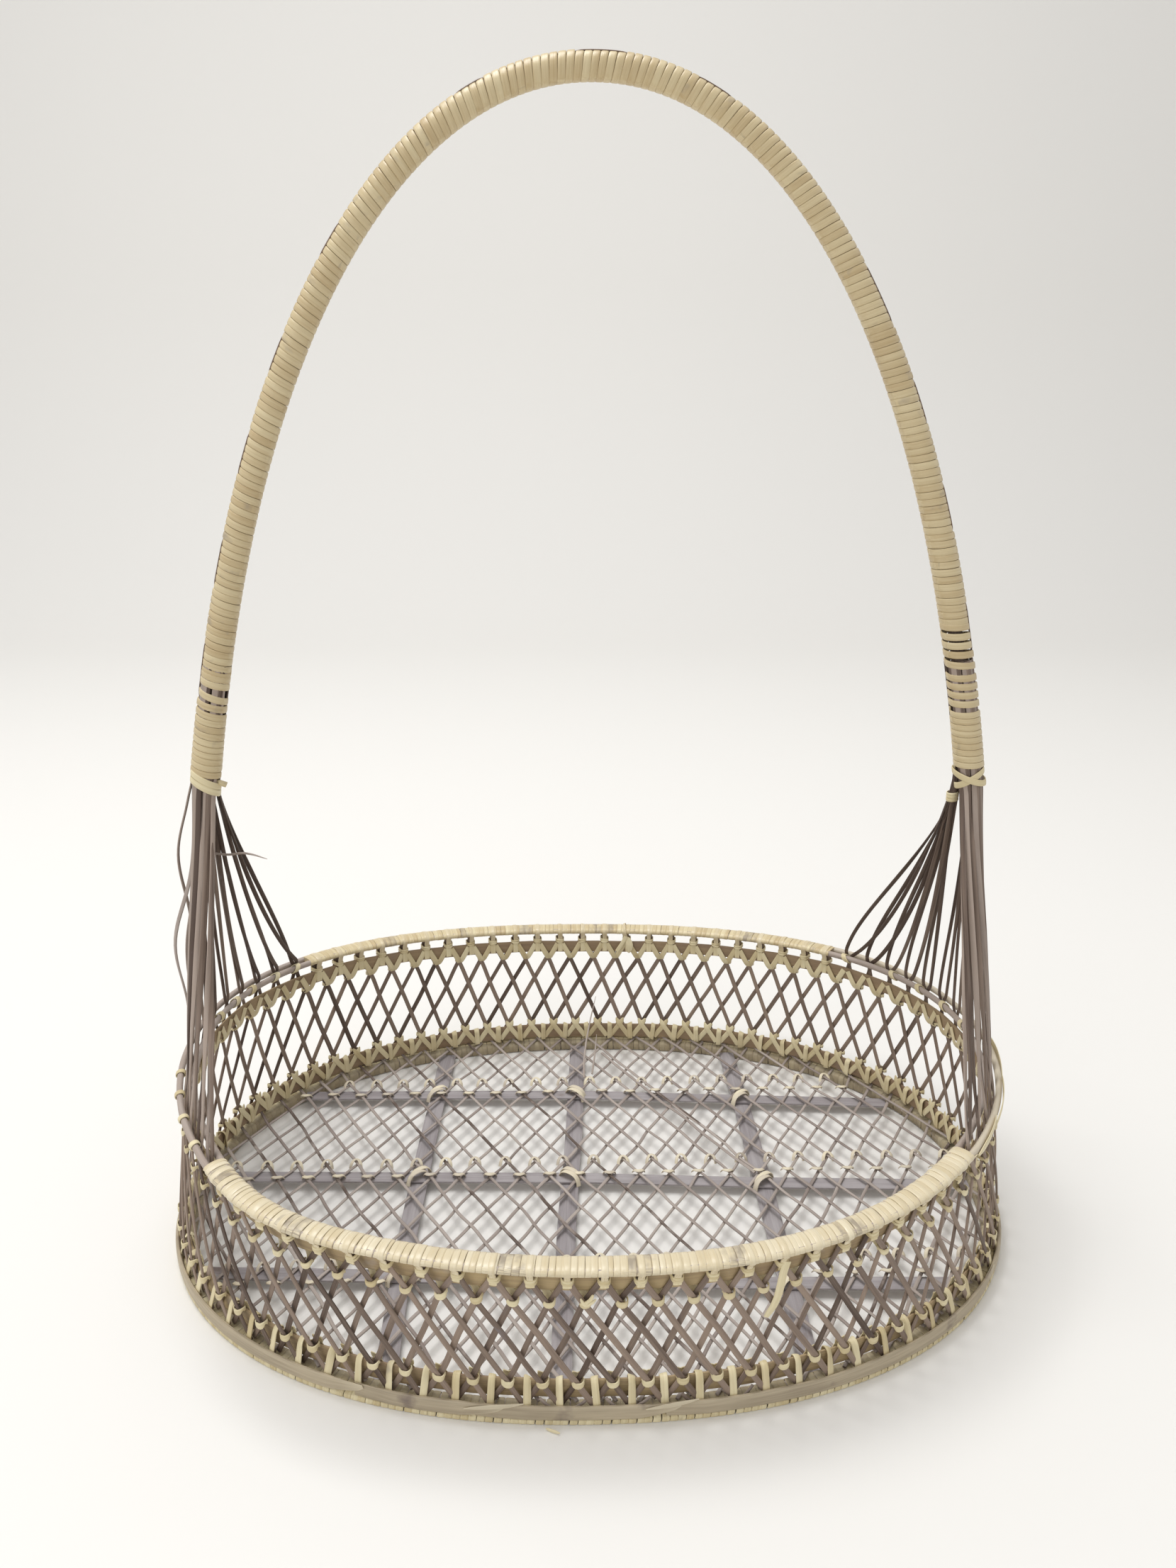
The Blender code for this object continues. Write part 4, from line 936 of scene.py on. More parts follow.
def weave_upper_lacing():
    """Straps over the rim, collars and zigzag over the upper band, and the ties at the crossings below."""
    over = Weave("rim_straps", "rim", "pale_cane")
    down = Weave("strap_ends", "lacing", "pale_cane")
    lacing = Weave("upper_zigzag", "lacing", "pale_cane", "upper_lacing")
    ties = Weave("upper_ties", "lacing", "pale_cane")
    for node in range(NODES):
        top = float(rim_height(node))
        if not in_fan(node):
            strap_over_rim(over, down, node, 0.1 if node == LOOSE_STRAP else 0.0)
            for shift in (1.5 * MM, 0.2 * MM):
                collar(down, node, top - COLLAR_DROP + shift, **COLLAR_SIZES)
        middle = node + TOP_STEP
        tip = float(rim_height(middle)) - UPPER_CROSSING_DROP + 0.6 * MM
        for start, offset in ((node, -3.9 * MM), (node + 1, -4.3 * MM)):
            high = float(rim_height(start)) - UPPER_BAND_DROP + UPPER_BAND_HEIGHT / 2 - 1.4 * MM
            low = high - UPPER_BAND_HEIGHT
            begin = start + 0.1 * (middle - start) * 2
            share = (high - low) / (high - tip)
            stops = [(begin, high, offset), (begin + (middle - begin) * share, low, offset),
                     (middle, tip, offset + 1.4 * MM), (middle, tip - 1.4 * MM, -0.4 * MM)]
            zigzag(lacing, stops, sizes().strap_width * 1.12)
        cup(ties, middle, tip, **UPPER_CUP_SIZES)
    for piece in (over, down, lacing, ties):
        piece.make()


UPRIGHT_TIE_WIDTH = 3.3 * MM


def upright_tie(weave, node):
    """A tie that goes up the outside of the lower band, over its top and down the inside."""
    low, high = LOWER_BAND_BOTTOM, LOWER_BAND_TOP
    outside = [(low - 1.6 * MM, 2.2), (low, 2.1), (high - 1.8 * MM, -0.4)]
    over = [(high + 0.3 * MM, -1.6), (high + 0.4 * MM, -3.8)]
    inside = [(high - 0.8 * MM, -4.9), (low + 0.6 * MM, -5.0), (low - 0.9 * MM, -4.2)]
    stops = [(node, height, offset * MM) for height, offset in outside + over + inside]
    stations = route(stops, 0.9 * MM, 1)
    lean = weave.random.normal(0, 0.03)
    stations[:, 0] += lean * (stations[:, 1] - low) / (high - low) + weave.random.normal(0, 0.03)
    path = wall(*stations.T)
    centre = wall(node, np.clip(stations[:, 1], low, high - 1.5 * MM), -2.4 * MM)
    weave.cane(path, unit(path - centre), UPRIGHT_TIE_WIDTH * weave.random.uniform(0.88, 1.1),
               sizes().strap_thickness, CROWNED, stain=weave.random.random() * 0.4)


def weave_lower_lacing():
    """Cross bindings inside the lower band, ties at its crossings and upright ties round it."""
    cross = Weave("lower_cross_bindings", "lacing", "pale_cane", "lower_lacing")
    ties = Weave("lower_ties", "lacing", "pale_cane")
    upright = Weave("upright_ties", "lacing", "pale_cane")
    tip = LOWER_BAND_TOP + 4.4 * MM
    bend = LOWER_BAND_TOP + 1.0 * MM
    low = LOWER_BAND_BOTTOM + 0.9 * MM
    for i in range(NODES):
        node = i + LOWER_CROSSING_SHIFT
        for side, offset in ((-1, -3.9 * MM), (1, -4.35 * MM)):
            stops = [(node + side * 0.15, tip, -2.9 * MM), (node + side * 0.04, bend, offset),
                     (node - side * 0.42, low, offset)]
            zigzag(cross, stops, sizes().strap_width * 1.08, 0.85)
        cup(ties, node, LOWER_CROSSING + 0.4 * MM, **LOWER_CUP_SIZES)
        upright_tie(upright, i + LEG_CROSSING_SHIFT)
    for piece in (cross, ties, upright):
        piece.make()


# First and last rim node of the canes on each side
WALL_GROUPS = {"right": RIGHT_FAN, "back": (RIGHT_FAN[1] + 1, LEFT_FAN[0] - 1), "left": LEFT_FAN,
               "front": (LEFT_FAN[1] + 1, RIGHT_FAN[0] - 1 + NODES)}
BUNDLE_LENGTH = 66.0 * MM
BUNDLE_OUTER_RADIUS = 6.2 * MM
BUNDLE_INNER_RADIUS = 3.9 * MM


def wall_stops(node, outer):
    """Stops of a wall cane from the foot up to the rim."""
    sign = 1 if outer else -1
    offset = LAYER_OFFSET * sign
    step = OUTER_STEP if outer else INNER_STEP
    upper = node + sign * TOP_STEP
    lower = upper + sign * step
    leg = lower + sign * LEG_STEP
    top = float(rim_height(node))
    crossing = float(rim_height(upper)) - UPPER_CROSSING_DROP
    return [(leg, LEG_END, offset), (lower, LOWER_CROSSING, offset), (upper, crossing, offset),
            (node, top - COLLAR_DROP, offset), (node, top, offset * 0.5)]


BUNDLE_STEPS = 16
BUNDLE_SPREAD = math.radians(160)
BUNDLE_LAYER_ANGLE = 0.09
FAN_STEPS = 46
FAN_START_SHIFT = 0.17
FAN_START_RISE = 1.5 * MM
INNER_LEAN = 1.5 * MM

# Pulls that curve a fan cane, outer or inner: shares of its rise and level reach, at its start and its end
FAN_PULLS = {True: (0.22, 0.4, 0.34, 0.2), False: (0.24, 0.12, 0.36, 0.26)}

# Where the last canes of the right fan are gathered beside the handle's foot, and the first of them
SIDE_BUNDLE = np.array([187.2, 4.0, 233.7]) * MM
SIDE_BUNDLE_FROM = 4
SIDE_BUNDLE_INSET = 4.8 * MM
SIDE_BUNDLE_BACK = 2.5 * MM

# Canes of the left fan that bow, by node and outer layer: the bow's place on the rise and its millimetres
BOW_BREADTH = 0.17
BOWED_CANES = {(42, True): (0.5, 9.0), (41, True): (0.46, 4.0), (40, False): (0.78, 8.0)}
PALE_BOW = (42, True)


def bundle_slot(place, reach, outer, index):
    """Direction and radius of a fan cane's place in the handle's bundle."""
    angle = place / reach * BUNDLE_SPREAD + (BUNDLE_LAYER_ANGLE if outer else -BUNDLE_LAYER_ANGLE)
    return angle, (BUNDLE_INNER_RADIUS if index % 3 == 2 else BUNDLE_OUTER_RADIUS)


def fan_path(node, outer, fan, index, random):
    """Path and normals of a cane that leaves the rim and is gathered into the handle."""
    right = fan is RIGHT_FAN
    middle = 0 if right else NODES / 2
    place = (node - middle) if right else (middle - node)
    reach = max(abs(fan[0] - middle), abs(fan[1] - middle))
    angle, radius = bundle_slot(place, reach, outer, index)
    sign = -1 if outer else 1
    distance = np.linspace(0, BUNDLE_LENGTH, BUNDLE_STEPS)
    centre, outward = handle_at(HANDLE_LENGTH - distance if right else distance)
    spoke = round_handle(outward, angle)
    inside = centre + spoke * radius
    start = wall(node + sign * FAN_START_SHIFT, rim_height(node) + FAN_START_RISE, -LAYER_OFFSET * sign * 0.6)
    end = inside[0]
    if right and place >= SIDE_BUNDLE_FROM:
        turned = random.uniform(0, 2 * np.pi)
        end = SIDE_BUNDLE + np.array([math.cos(turned), math.sin(turned), 0]) * random.uniform(0.6, 1.7) * MM
        inside = centre - outward * SIDE_BUNDLE_INSET + TO_BACK * SIDE_BUNDLE_BACK + (end - SIDE_BUNDLE) * 0.8
        inside[0] = end
    reached = (end - start) * [1, 1, 0]
    rise = end[2] - start[2]
    lean = 0 if outer else np.cross(UP, RIM.outward(node)) * INNER_LEAN
    start_rise, start_reach, end_rise, end_reach = FAN_PULLS[outer]
    first = start + UP * rise * start_rise + reached * start_reach + lean
    second = end - UP * rise * end_rise - reached * end_reach
    share = np.linspace(0, 1, FAN_STEPS)[:, None]
    curve = ((1 - share) ** 3 * start + 3 * share * (1 - share) ** 2 * first
             + 3 * share ** 2 * (1 - share) * second + share ** 3 * end)
    swell = RIM.outward(node) * random.normal(0.5, 0.8) * MM
    curve = curve + np.sin(np.pi * share) ** 2 * swell
    if (node, outer) in BOWED_CANES:
        peak, amount = BOWED_CANES[node, outer]
        curve = curve + np.exp(-((share - peak) / BOW_BREADTH) ** 2) * np.array([-amount, 0, 0]) * MM
    turn = np.clip(share * (1.8 if place < 0 else 1), 0, 1) ** 2
    normals = unit(RIM.outward(node) * (1 - turn) + spoke[0] * turn)
    return np.concatenate([curve, inside[1:]]), np.concatenate([normals, spoke[1:]])


FAN_CANES_BEHIND = 8
FAN_LOOK_BELOW_RIM = 14 * MM
FAN_LOOK_RISE = 26 * MM


def fan_look(path, side, node, outer, shade, width):
    """Tone, width and bleaching of a cane as it rises in a fan, with painted shade that grows with how far
    behind it stands.
    """
    behind = (node if side == "right" else NODES / 2 - node) / FAN_CANES_BEHIND
    rising = np.clip((path[:, 2] - RIM_HEIGHT + FAN_LOOK_BELOW_RIM) / FAN_LOOK_RISE, 0, 1)
    near = behind < 0.1
    light = near and (node + outer) % 2 == 0
    # Painted shade: canes further behind get darker; near canes alternate pale and dark
    shade = shade + (-0.3 if light else max(0.3, 0.7 * behind)) * rising
    width = width * (1 + rising * (0.08 if near else -0.14))
    bleached = rising * (0.6 if (node, outer) == PALE_BOW else 0.35 if light else 0.0)
    return shade, width, bleached


def weave_wall():
    """All wall canes, one layer leaning each way; those at the ends rise in fans to the handle."""
    for side, (first, last) in WALL_GROUPS.items():
        for outer in (True, False):
            layer = "outer" if outer else "inner"
            canes = Weave(f"wall_canes_{side}_{layer}", "wall", "stake", f"stakes_{side}_{layer}")
            for index, node in enumerate(range(first, last + 1)):
                stops = wall_stops(node, outer)
                for j in (1, 2):
                    stops[j] = (stops[j][0] + canes.random.normal(0, 0.025), *stops[j][1:])
                stations = route(stops, 3.0 * MM, 2)
                stations[:, 0] += wander(canes.random, len(stations), 5, 0.02)
                path, normal = on_wall(stations)
                if side in ("right", "left"):
                    fan = RIGHT_FAN if side == "right" else LEFT_FAN
                    rise, turned = fan_path(node, outer, fan, index, canes.random)
                    path, normal = np.concatenate([path, rise]), np.concatenate([normal, turned])
                    path = eased(path, 2)
                shade = 0.95 if canes.random.random() < 0.12 else canes.random.uniform(0.25, 0.7)
                width = sizes().wall_cane_width * canes.random.uniform(0.92, 1.08)
                if side in ("right", "left"):
                    shade, width, bleached = fan_look(path, side, node, outer, shade, width)
                else:
                    bleached = 0.0
                canes.cane(path, normal, width, sizes().wall_cane_thickness, OVAL, tone=shade,
                           stain=canes.random.random() * 0.4, raw_and_painted_shade=bleached)
            canes.make()


BASE_LINE_SAMPLES = 800
SHORTEST_BASE_LINE = 20
BASE_CANE_STEP = 3.5 * MM
BASE_CANE_SWING = 0.45 * MM
BASE_CANE_LIFT = 0.15 * MM


def base_line(start_x, direction):
    """Ends of a base cane inside the foot's outline, or nothing where it would be too short."""
    half_length, half_width = (half - BASE_REACH_INSET for half in FOOT_HALF)
    y = np.linspace(-half_width, half_width, BASE_LINE_SAMPLES)
    x = start_x + direction * LATTICE_SLOPE * (y - LATTICE_CROSSING[1])
    inside = np.abs(x / half_length) ** OUTLINE_EXPONENT + np.abs(y / half_width) ** OUTLINE_EXPONENT < 1
    if inside.sum() < SHORTEST_BASE_LINE:
        return None
    return np.array([x[inside][0], y[inside][0]]), np.array([x[inside][-1], y[inside][-1]])


EXTRA_BASE_CANES = (((12.0, 134.0), (94.0, 1.0)), ((46.5, 84.7), (80.5, 30.0)))


def weave_base():
    """Two layers of slanting base canes."""
    spacing = sizes().base_spacing
    for name, solid, direction, height in (("base_canes_upper", "base_stakes_upper", -1, UPPER_LAYER_HEIGHT),
                                           ("base_canes_lower", "base_stakes_lower", 1, LOWER_LAYER_HEIGHT)):
        canes = Weave(name, "base", "base_cane", solid)
        lines = [base_line(LATTICE_CROSSING[0] + k * spacing, direction) for k in range(-24, 36)]
        lines = [line for line in lines if line is not None]
        if direction < 0:
            lines += [(np.array(low) * MM, np.array(high) * MM) for low, high in EXTRA_BASE_CANES]
        for low, high in lines:
            count = max(8, int(np.linalg.norm(high - low) / BASE_CANE_STEP))
            share = np.linspace(0, 1, count)[:, None]
            level = low + (high - low) * share
            square = unit(np.array([[-(high - low)[1], (high - low)[0]]]))[0]
            level = level + square * wander(canes.random, count, max(3, count // 5), BASE_CANE_SWING)[:, None]
            lift = height + wander(canes.random, count, max(3, count // 4), BASE_CANE_LIFT)
            path = raised(level, lift)
            blue = canes.random.random() < 0.15
            canes.cane(path, UP, sizes().base_cane_width * canes.random.uniform(0.88, 1.1),
                       sizes().base_cane_thickness, OVAL, stain=0.7 if blue else canes.random.random() * 0.35)
        canes.make()


# Slats: stops along each, in millimetres
LONG_SLATS = {"back": ((-178, 92.5), (-90, 91), (0, 88.5), (100, 81), (190, 74)),
              "middle": ((-213, 10.5), (0, 3.1), (100, -4), (214, -9.5)),
              "front": ((-197, -68.5), (-60, -76), (80, -84), (186, -87.5))}
CROSS_SLATS = {"left": ((-91.8, 142), (-96, 50), (-99, -50), (-98, -139)),
               "middle": ((-3.5, 152), (-8, 50), (-13.8, -35), (-18.5, -152)),
               "right": ((98, 140), (98.8, 50), (98, -50), (96.5, -141))}
LONG_SLAT_HEIGHT = 5.6 * MM
CROSS_SLAT_HEIGHT = 3.8 * MM


def slat_path(stops, height):
    """Level path through a slat's stops."""
    return polyline(raised(np.array(stops) * MM, height), 4.0 * MM, 6)


def weave_slats():
    """Three long slats over three cross slats."""
    for group, kind, width, height in ((LONG_SLATS, "long", sizes().long_slat_width, LONG_SLAT_HEIGHT),
                                       (CROSS_SLATS, "cross", sizes().cross_slat_width, CROSS_SLAT_HEIGHT)):
        for name, stops in group.items():
            slat = Weave(f"{kind}_splint_{name}", "slat", "slat", f"{kind}_slat_{name}")
            path = slat_path(stops, height)
            breadth = width * (1 + wander(slat.random, len(path), 10, 0.03))
            slat.cane(path, UP, breadth, sizes().slat_thickness, SPLINT,
                      stain=0.1 + wander(slat.random, len(path), 12, 0.2))
            slat.make()


# Arch of a knot over a crossing, in millimetres from it and above the ground
KNOT_ARCH = ((-3.1, 3.1, 6.9), (-2.7, 1.7, 9.3), (-1.6, -0.3, 10.3), (0, -1.2, 10.6), (1.6, -0.3, 10.3),
             (2.7, 1.7, 9.3), (3.1, 3.1, 6.9))
KNOT_REACH_INSET = 14 * MM
KNOT_WIDTH = 1.9 * MM
KNOT_THICKNESS = 0.5 * MM
KNOT_ROWS = {"back": (0, 1), "middle": (6, 7), "front": (12, 13)}


def row_height(row):
    """Distance across the basket of a row of crossings, counted from the back."""
    return LATTICE_CROSSING[1] - row * sizes().base_spacing / 2 / LATTICE_SLOPE


def weave_knots():
    """Knots of thin cane that tie the crossings beside each long slat."""
    spacing = sizes().base_spacing
    for name, rows in KNOT_ROWS.items():
        knots = Weave(f"base_knots_{name}", "knot", "pale_cane", f"slat_knots_{name}")
        for row, toward in zip(rows, (-1, 1)):
            y = row_height(row)
            for k in range(-16, 20):
                x = LATTICE_CROSSING[0] + (k + (row % 2) / 2) * spacing
                half_length, half_width = (half - KNOT_REACH_INSET for half in FOOT_HALF)
                if abs(x / half_length) ** OUTLINE_EXPONENT + abs(y / half_width) ** OUTLINE_EXPONENT > 1:
                    continue
                swing = knots.random.normal(0, 0.35 * MM, 2)
                place = np.array([x + swing[0], y + swing[1], 0])
                points = place + np.array(KNOT_ARCH) * [1, toward, 1] * MM
                knots.cane(polyline(points, 0.9 * MM, 1), np.array([0, -0.3 * toward, 1.0]), KNOT_WIDTH,
                           KNOT_THICKNESS, CROWNED, stain=knots.random.random() * 0.6, raw_and_painted_shade=0.2)
        knots.make()


def slat_crossings():
    """Places where a long slat passes over a cross slat."""
    for long_name, long_stops in LONG_SLATS.items():
        line = np.array(long_stops) * MM
        for cross_name, cross_stops in CROSS_SLATS.items():
            cross = np.array(cross_stops) * MM
            y = 0.0
            for _ in range(6):
                x = np.interp(y, cross[::-1, 1], cross[::-1, 0])
                y = np.interp(x, line[:, 0], line[:, 1])
            yield long_name, cross_name, x, y


# Arch of a lashing over two slats, in millimetres from their crossing and above the ground
LASHING_ARCH = ((-6.6, -4.4, 4.4), (-6.2, -3.9, 7.6), (-4.2, -2.4, 10.2), (0, 0, 10.9), (4.2, 2.4, 10.2),
                (6.2, 3.9, 7.6), (6.6, 4.4, 4.4))
LASHING_WIDTH = 2.9 * MM
LASHING_THICKNESS = 0.55 * MM


def weave_lashings():
    """A slanting lashing over every place where two slats cross."""
    for long_name, cross_name, x, y in slat_crossings():
        lashing = Weave(f"slat_lashing_{long_name}_{cross_name}", "knot", "pale_cane",
                        f"lashing_{long_name}_{cross_name}")
        lean = 1 if cross_name != "middle" else -1
        for shift in (-1.5, 1.6):
            points = [(x + (a * 0.8 + shift * 0.3) * MM, y + (b * lean + shift) * MM, c * MM)
                      for a, b, c in LASHING_ARCH]
            lashing.cane(polyline(points, 1.2 * MM, 2), UP, LASHING_WIDTH, LASHING_THICKNESS, CROWNED,
                         stain=lashing.random.random() * 0.5, raw_and_painted_shade=0.3)
        lashing.make()


HANDLE_TURN_STEPS = 20
TIE_LENGTH = 9.2 * MM
COLLAR_END = 39.5 * MM
LEFT_DENSE = 61.0 * MM
RIGHT_DENSE = 84.0 * MM
RUNNER_ANGLE = math.radians(-12)
RUNNER_SHOWN = ((49, 76), (103, 126), (156, 176), (203, 221), (257, 274), (344, 357), (396, 417), (446, 463),
                (551, 579), (605, 626), (654, 677), (712, 737))


def runner_shown(distance):
    """How far the runner lies over the winding, from 0 to 1."""
    shown = np.zeros_like(distance)
    for start, end in RUNNER_SHOWN:
        rise = np.clip((distance - start * MM) / (2 * MM) + 0.5, 0, 1)
        fall = np.clip((end * MM - distance) / (2 * MM) + 0.5, 0, 1)
        shown = np.maximum(shown, np.minimum(rise, fall))
    return shown


TURN_SLANT = 0.3 * MM
TURN_THICKNESS = 0.7 * MM
TURN_FILL = 0.96
RUNNER_BULGE = 0.55 * MM
RUNNER_BULGE_ANGLE = 0.2


def coil(weave, stations, lift=0.0):
    """Winds one cane round the handle, each turn starting at its station, in a bulge over the runner."""
    turns = len(stations) - 1
    turn = np.arange(turns * HANDLE_TURN_STEPS + 1) / HANDLE_TURN_STEPS
    whole = np.minimum(np.floor(turn), turns - 1).astype(int)
    angle = 2 * np.pi * turn + math.pi
    distance = np.interp(turn, np.arange(turns + 1), stations)
    centre, outward = handle_at(distance + TURN_SLANT * np.cos(angle))
    near = np.exp(-((np.angle(np.exp(1j * (angle - RUNNER_ANGLE)))) / RUNNER_BULGE_ANGLE) ** 2)
    bulge = near * (1 - runner_shown(distance)) * RUNNER_BULGE
    radius = handle_radius(distance) - TURN_THICKNESS / 2 + lift + bulge
    spoke = round_handle(outward, angle)
    pitch = np.gradient(stations)[whole]
    width = np.minimum(np.abs(pitch), sizes().handle_turn * 1.05) * TURN_FILL
    tone = eased(weave.random.random(turns)[whole], 3)
    stain = eased((0.15 + 0.25 * weave.random.random(turns))[whole], 3)
    weave.cane(centre + spoke * radius[:, None], spoke, eased(width, 2), TURN_THICKNESS, CROWNED, tone=tone,
               stain=stain, chart_steps=HANDLE_TURN_STEPS)


# Starts of the open turns at both ends of the handle's winding
LEFT_OPEN = np.array([COLLAR_END, COLLAR_END + 4.5 * MM, COLLAR_END + 8.5 * MM, COLLAR_END + 16.0 * MM,
                      LEFT_DENSE - 2.0 * MM, LEFT_DENSE + 1.5 * MM])
RIGHT_OPEN = HANDLE_LENGTH - RIGHT_DENSE + np.array([-1, 4, 8.5, 13, 18, 25, 29.5, 34, 38.5, 43]) * MM
OPEN_LIFT = 0.1 * MM
CORE_LAP = 6 * MM
CORE_SHRINK = 1.0 * MM
BARE_CORE_SHRINK = 3.4 * MM


def weave_handle_core():
    """Bundle of canes inside the handle, thinner where the turns stand open."""
    right_dense = HANDLE_LENGTH - RIGHT_DENSE
    stretches = ((0.0, LEFT_DENSE + CORE_LAP, BARE_CORE_SHRINK), (LEFT_DENSE, right_dense, CORE_SHRINK),
                 (right_dense - CORE_LAP, HANDLE_LENGTH, BARE_CORE_SHRINK))
    core = Weave("handle_bundle", "wall", "handle_cane", "handle_core")
    for start, end, shrink in stretches:
        distance = np.linspace(start, end, int((end - start) / (6 * MM)) + 2)
        centre, outward = handle_at(distance)
        radius = handle_radius(distance) - shrink
        core.cane(centre, outward, radius * 2, radius * 2, section(16, 2.0), tone=0.7)
    core.make()


def weave_handle_winding():
    """Cane wound closely over the arch, and its open turns at both ends."""
    wrap = Weave("handle_winding", "handle", "handle_cane", "handle_wrap")
    coil(wrap, spaced(LEFT_DENSE, HANDLE_LENGTH - RIGHT_DENSE, sizes().handle_turn, wrap.random, 0.07))
    coil(wrap, LEFT_OPEN, lift=OPEN_LIFT)
    coil(wrap, RIGHT_OPEN, lift=OPEN_LIFT)
    wrap.make()


COLLAR_GAP = 0.5 * MM
COLLAR_PITCH = 3.2 * MM
COLLAR_LIFT = 0.15 * MM
TIE_WIDTH = 3.2 * MM
TIE_THICKNESS = 0.6 * MM
# Turns of each tie: slant, shift along the handle and lift from it, in millimetres
TIE_TURNS = {"left": ((3.2, -1.8, 0.1), (3.2, 1.7, 0.1)), "right": ((3.6, -0.3, 0.1), (-3.8, 0.6, 0.65))}


def weave_handle_feet():
    """Collar of close turns and crossed tie at each foot of the handle."""
    for side in ("left", "right"):
        bind = Weave(f"handle_collar_turns_{side}", "handle", "handle_cane", f"handle_collar_{side}")
        stations = spaced(TIE_LENGTH + COLLAR_GAP, COLLAR_END, COLLAR_PITCH, bind.random, 0.06)
        if side == "right":
            stations = HANDLE_LENGTH - stations[::-1]
        coil(bind, stations, lift=COLLAR_LIFT)
        bind.make()
        tie = Weave(f"handle_crossed_tie_{side}", "lacing", "handle_cane", f"handle_tie_{side}")
        for slant, shift, lift in TIE_TURNS[side]:
            angle = np.linspace(0, 2 * np.pi, 36, endpoint=False)
            middle = TIE_LENGTH / 2 + (shift + slant * np.cos(angle + 0.35)) * MM
            distance = middle if side == "left" else HANDLE_LENGTH - middle
            centre, outward = handle_at(distance)
            spoke = round_handle(outward, angle)
            radius = handle_radius(0.0) + lift * MM
            tie.cane(centre + spoke * radius, spoke, TIE_WIDTH, TIE_THICKNESS, CROWNED, closed=True)
        tie.make()


SIDE_TIE_RADIUS = 2.9 * MM
SIDE_TIE_WIDTH = 1.6 * MM
SIDE_TIE_THICKNESS = 0.5 * MM


def weave_side_tie():
    """Small tie round the canes that are gathered beside the right foot."""
    side_tie = Weave("side_bundle_tie", "lacing", "handle_cane")
    for lift in (-SIDE_TIE_WIDTH, 0.0, SIDE_TIE_WIDTH):
        angle = np.linspace(0, 2 * np.pi, 18, endpoint=False)
        spoke = np.stack([np.cos(angle), np.sin(angle), 0.15 * np.cos(angle)], 1)
        path = SIDE_BUNDLE + spoke * SIDE_TIE_RADIUS + UP * lift
        side_tie.cane(path, spoke, SIDE_TIE_WIDTH, SIDE_TIE_THICKNESS, CROWNED, closed=True)
    side_tie.make()


RUNNER_TUCK = 4 * MM
RUNNER_STEP = 1.2 * MM
RUNNER_THICKNESS = 0.8 * MM
RUNNER_LIFT = -0.9 * MM
RUNNER_OPEN_LIFT = -1.0 * MM


def weave_runner():
    """Dark cane along the outside of the handle, over and under the winding."""
    runner = Weave("runner_cane", "runner", "handle_cane", "handle_runner")
    start = COLLAR_END - RUNNER_TUCK
    distance = np.arange(start, HANDLE_LENGTH - start, RUNNER_STEP)
    centre, outward = handle_at(distance)
    spoke = round_handle(outward, RUNNER_ANGLE)
    open_zone = (distance < LEFT_DENSE) | (distance > HANDLE_LENGTH - RIGHT_DENSE)
    lift = np.where(open_zone, RUNNER_OPEN_LIFT, RUNNER_LIFT) + runner_shown(distance) * RUNNER_THICKNESS
    radius = handle_radius(distance) + eased(lift, 2)
    path = centre + spoke * radius[:, None]
    runner.cane(path, spoke, sizes().runner_width, RUNNER_THICKNESS, OVAL, tone=0.5)
    runner.make()


# Loose ends: points in millimetres, or node, height and offset on the wall with a strap's width and taper
SPLINTERS = (((-0.4, 101.5, 10.5), (-0.1, 112, 17.3), (1.7, 125, 23.4), (5, 138, 33.1), (8.8, 147, 45)),
             ((4.9, 105.7, 10.5), (7.4, 124, 13.4), (9.4, 143, 18.3)),
             ((-192.3, 0, 207.1), (-185.8, 0, 206.2), (-176.9, -5, 209.2), (-169.6, -12, 210.8),
              (-161.1, -20, 211.5)))
LOOSE_STRAPS = (((65.1, 81.5, 2.9), (65.0, 77, 3.4), (64.95, 70, 3.2), (64.9, 63, 2.8), (64.8, 57.5, 2.5),
                 (64.6, 52, 2.3), 3.7, 0.35),
                ((18.02, 83.5, -5.3), (18.2, 78.5, -5.6), (18.44, 72.8, -5.4), 2.7, 0.0),
                ((17.98, 83.0, -4.9), (17.86, 77.5, -5.6), (17.9, 71.8, -4.9), 4.6, 0.7),
                ((59.36, 68.4, 2.8), (59.5, 69.4, 3.7), (59.64, 71.0, 3.3), (59.7, 73.2, 2.4), 1.9, 0.6),
                ((59.62, 67.4, 2.4), (59.5, 68.2, 3.9), (59.4, 70.2, 3.4), (59.36, 71.4, 2.6), 1.5, 0.6),
                ((59.5, 67.2, 3.0), (59.58, 69.0, 4.1), (59.72, 70.4, 3.6), (59.78, 71.2, 2.8), 1.2, 0.6),
                ((58.4, 0.9, 6.2), (58.6, 0.9, 7.6), (58.8, 1.0, 8.8), 1.5, 0.8))
FRAYED_CANES = ((58.2, 0.35), (59.6, -0.4), (60.1, 0.3), (61.4, -0.45), (62.3, 0.3), (63.5, 0.4),
                (64.4, -0.3))
STUB = ((-188, -1, 246), (-185.5, -2, 245.5), (-183, -1, 244.2))
STUB_WIDTH = 3.0 * MM
STUB_THICKNESS = 2.0 * MM
SPLINTER_FACE = np.array([0.2, -1.0, 0.3])
SPLINTER_WIDTH = 1.25 * MM
SPLINTER_THICKNESS = 0.7 * MM
FRAYED_WIDTH = 1.6 * MM
FRAYED_THICKNESS = 0.8 * MM
LOOSE_STRAP_THICKNESS = 0.55 * MM


